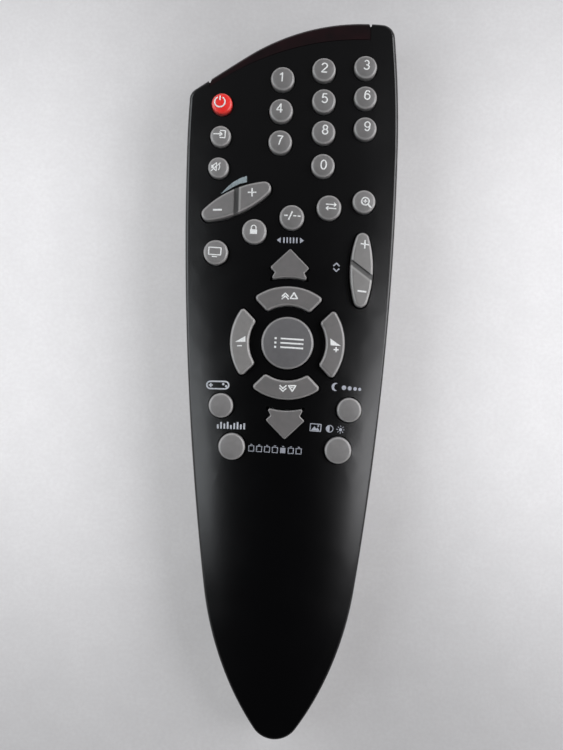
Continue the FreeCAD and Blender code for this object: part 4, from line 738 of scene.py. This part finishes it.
def paper():
    """Heavy white drawing paper: short fibres and a faint tooth.

    It is see-through from below and to rays that end on it straight after they leave the underside, so that
    the flat bottom is lit when it is looked at from beneath.
    """
    made, tree, place = begin_finish("drawing_paper")
    tooth = add(tree, "TexNoise", inputs={"Vector": place, "Scale": 1 / 1.1, "Detail": 5.0})
    clouds = add(tree, "TexNoise", inputs={"Vector": place, "Scale": 1 / 9.0, "Detail": 4.0})
    fibres = add(tree, "MapRange", inputs={"Value": tooth, 1: 0.35, 2: 0.65, 3: 0.0, 4: 0.5})
    tone = add(tree, "Mix", COLOURS, {
        0: fibres, 6: mottled(tree, clouds, 0.3, 0.7, "f0eff0", "f5f4f5"), 7: linear("eae8e9")})
    # The paper's tone carries the painted shade and light of paper_shade
    tone = add(tree, "Mix", {"data_type": "RGBA", "blend_type": "MULTIPLY"}, {
        0: 1.0, 6: tone, 7: paper_shade(tree, place)})
    lit = add(tree, "BsdfPrincipled", inputs={
        "Base Color": tone, "IOR": 1.4, "Roughness": 0.9, "Specular IOR Level": 0.2,
        "Normal": add(tree, "Bump", inputs={"Height": tooth, "Distance": 0.09 * MM, "Strength": 0.5})})
    # Seen directly or in a reflection the paper is a little brighter than lit, as a pale background
    path = add(tree, "LightPath")
    reflected = add(tree, "Math", {"operation": "MAXIMUM"}, {
        0: path.outputs["Is Glossy Ray"], 1: path.outputs["Is Transmission Ray"]})
    seen = add(tree, "Math", {"operation": "MAXIMUM"}, {0: path.outputs["Is Camera Ray"], 1: reflected})
    shown = add(tree, "MixShader", inputs={
        0: add(tree, "Math", {"operation": "MULTIPLY"}, {0: seen, 1: PAPER_GLOW}),
        1: lit, 2: add(tree, "Emission", inputs={"Color": tone, "Strength": PAPER_BRIGHT})})
    close = add(tree, "Math", {"operation": "LESS_THAN"}, {0: path.outputs["Ray Length"], 1: CONTACT * MM})
    clear = add(tree, "Math", {"operation": "MAXIMUM"}, {
        0: add(tree, "NewGeometry").outputs["Backfacing"], 1: close})
    both = add(tree, "MixShader", inputs={0: clear, 1: shown, 2: add(tree, "BsdfTransparent")})
    add(tree, "OutputMaterial", inputs={"Surface": both})
    return made


work = bmesh.new()
bmesh.ops.create_grid(work, x_segments=1, y_segments=1, size=FLOOR_REACH * MM)
bmesh.ops.translate(work, verts=work.verts, vec=(0, 0, -FLOOR_DROP * MM))
floor_mesh = bpy.data.meshes.new("floor")
work.to_mesh(floor_mesh)
work.free()
floor_mesh.materials.append(paper())
floor = bpy.data.objects.new("floor", floor_mesh)
bpy.context.scene.collection.objects.link(floor)


def lamp(name, place, width, length, radiance, colour):
    """An oval soft box that faces the middle of the handset, with its brightness given per area."""
    light = bpy.data.lights.new(name, "AREA")
    light.shape = "ELLIPSE"
    light.size = width * MM
    light.size_y = length * MM
    light.energy = radiance * math.pi * (math.pi / 4 * light.size * light.size_y)
    light.color = linear(colour)[:3]
    box = bpy.data.objects.new(name, light)
    box.visible_camera = False
    box.location = Vector(place) * MM
    box.rotation_mode = "QUATERNION"
    box.rotation_quaternion = Vector(place).to_track_quat("Z", "Y")
    bpy.context.scene.collection.objects.link(box)


lamp("left_soft_box", (-503, 76, 412), 690, 455, 2.9, "f6fbff")
lamp("right_soft_box", (507, 78, 406), 680, 438, 4.7, "fcfcff")

# The room's levels, and the depths (Y) and heights (Z) of a direction between which one turns to the next
ROOM_WALL = 0.9
ROOM_TAIL_WALL = 0.12
ROOM_HEAD_CEILING = 0.15
ROOM_TAIL_CEILING = 0.03
CEILING_TURN = (0.05, 0.375)
TAIL_WALL_TURN = (-0.7, -0.2)
FLOOR_TURN = (-0.08, -0.02)
WALL_TOP = (0.25, 0.5)
world = bpy.data.worlds.new("studio_room")
bpy.context.scene.world = world
world.use_nodes = True
tree = world.node_tree
tree.nodes.clear()
direction = add(tree, "SeparateXYZ", inputs={0: add(tree, "TexCoord").outputs["Generated"]})
depth, rise = direction.outputs["Y"], direction.outputs["Z"]
ceiling = add(tree, "MapRange", SMOOTH, {
    "Value": depth, 1: CEILING_TURN[0], 2: CEILING_TURN[1], 3: ROOM_TAIL_CEILING, 4: ROOM_HEAD_CEILING})
wall = add(tree, "MapRange", inputs={
    "Value": depth, 1: TAIL_WALL_TURN[0], 2: TAIL_WALL_TURN[1], 3: ROOM_TAIL_WALL, 4: ROOM_WALL})
ground = add(tree, "MapRange", inputs={
    "Value": rise, 1: FLOOR_TURN[0], 2: FLOOR_TURN[1], 3: ROOM_WALL, 4: 0.0})
around = add(tree, "Math", {"operation": "MAXIMUM"}, {0: wall, 1: ground})
level = add(tree, "MapRange", SMOOTH, {"Value": rise, 1: WALL_TOP[0], 2: WALL_TOP[1], 3: around, 4: ceiling})
glow = add(tree, "Background", inputs={"Color": linear("fdfcff"), "Strength": level})
add(tree, "OutputWorld", inputs={"Surface": glow})


# Camera: straight above, leaning with the handset as in the photograph

CAMERA_PLACE = (-1.1, 2.26, 275.0)
CAMERA_TURN = 1.8
LONG_SIDE = 750
FOCAL_PIXELS = 907.0
SENSOR = 36.0
CLOSEST = 10.0
camera_data = bpy.data.cameras.new("camera")
camera_data.sensor_width = SENSOR
camera_data.lens = FOCAL_PIXELS * SENSOR / LONG_SIDE
camera_data.clip_start = CLOSEST * MM
camera = bpy.data.objects.new("camera", camera_data)
camera.location = Vector(CAMERA_PLACE) * MM
camera.rotation_euler = (0, 0, math.radians(CAMERA_TURN))
bpy.context.scene.collection.objects.link(camera)
bpy.context.scene.camera = camera
bpy.context.scene.view_settings.view_transform = "Standard"
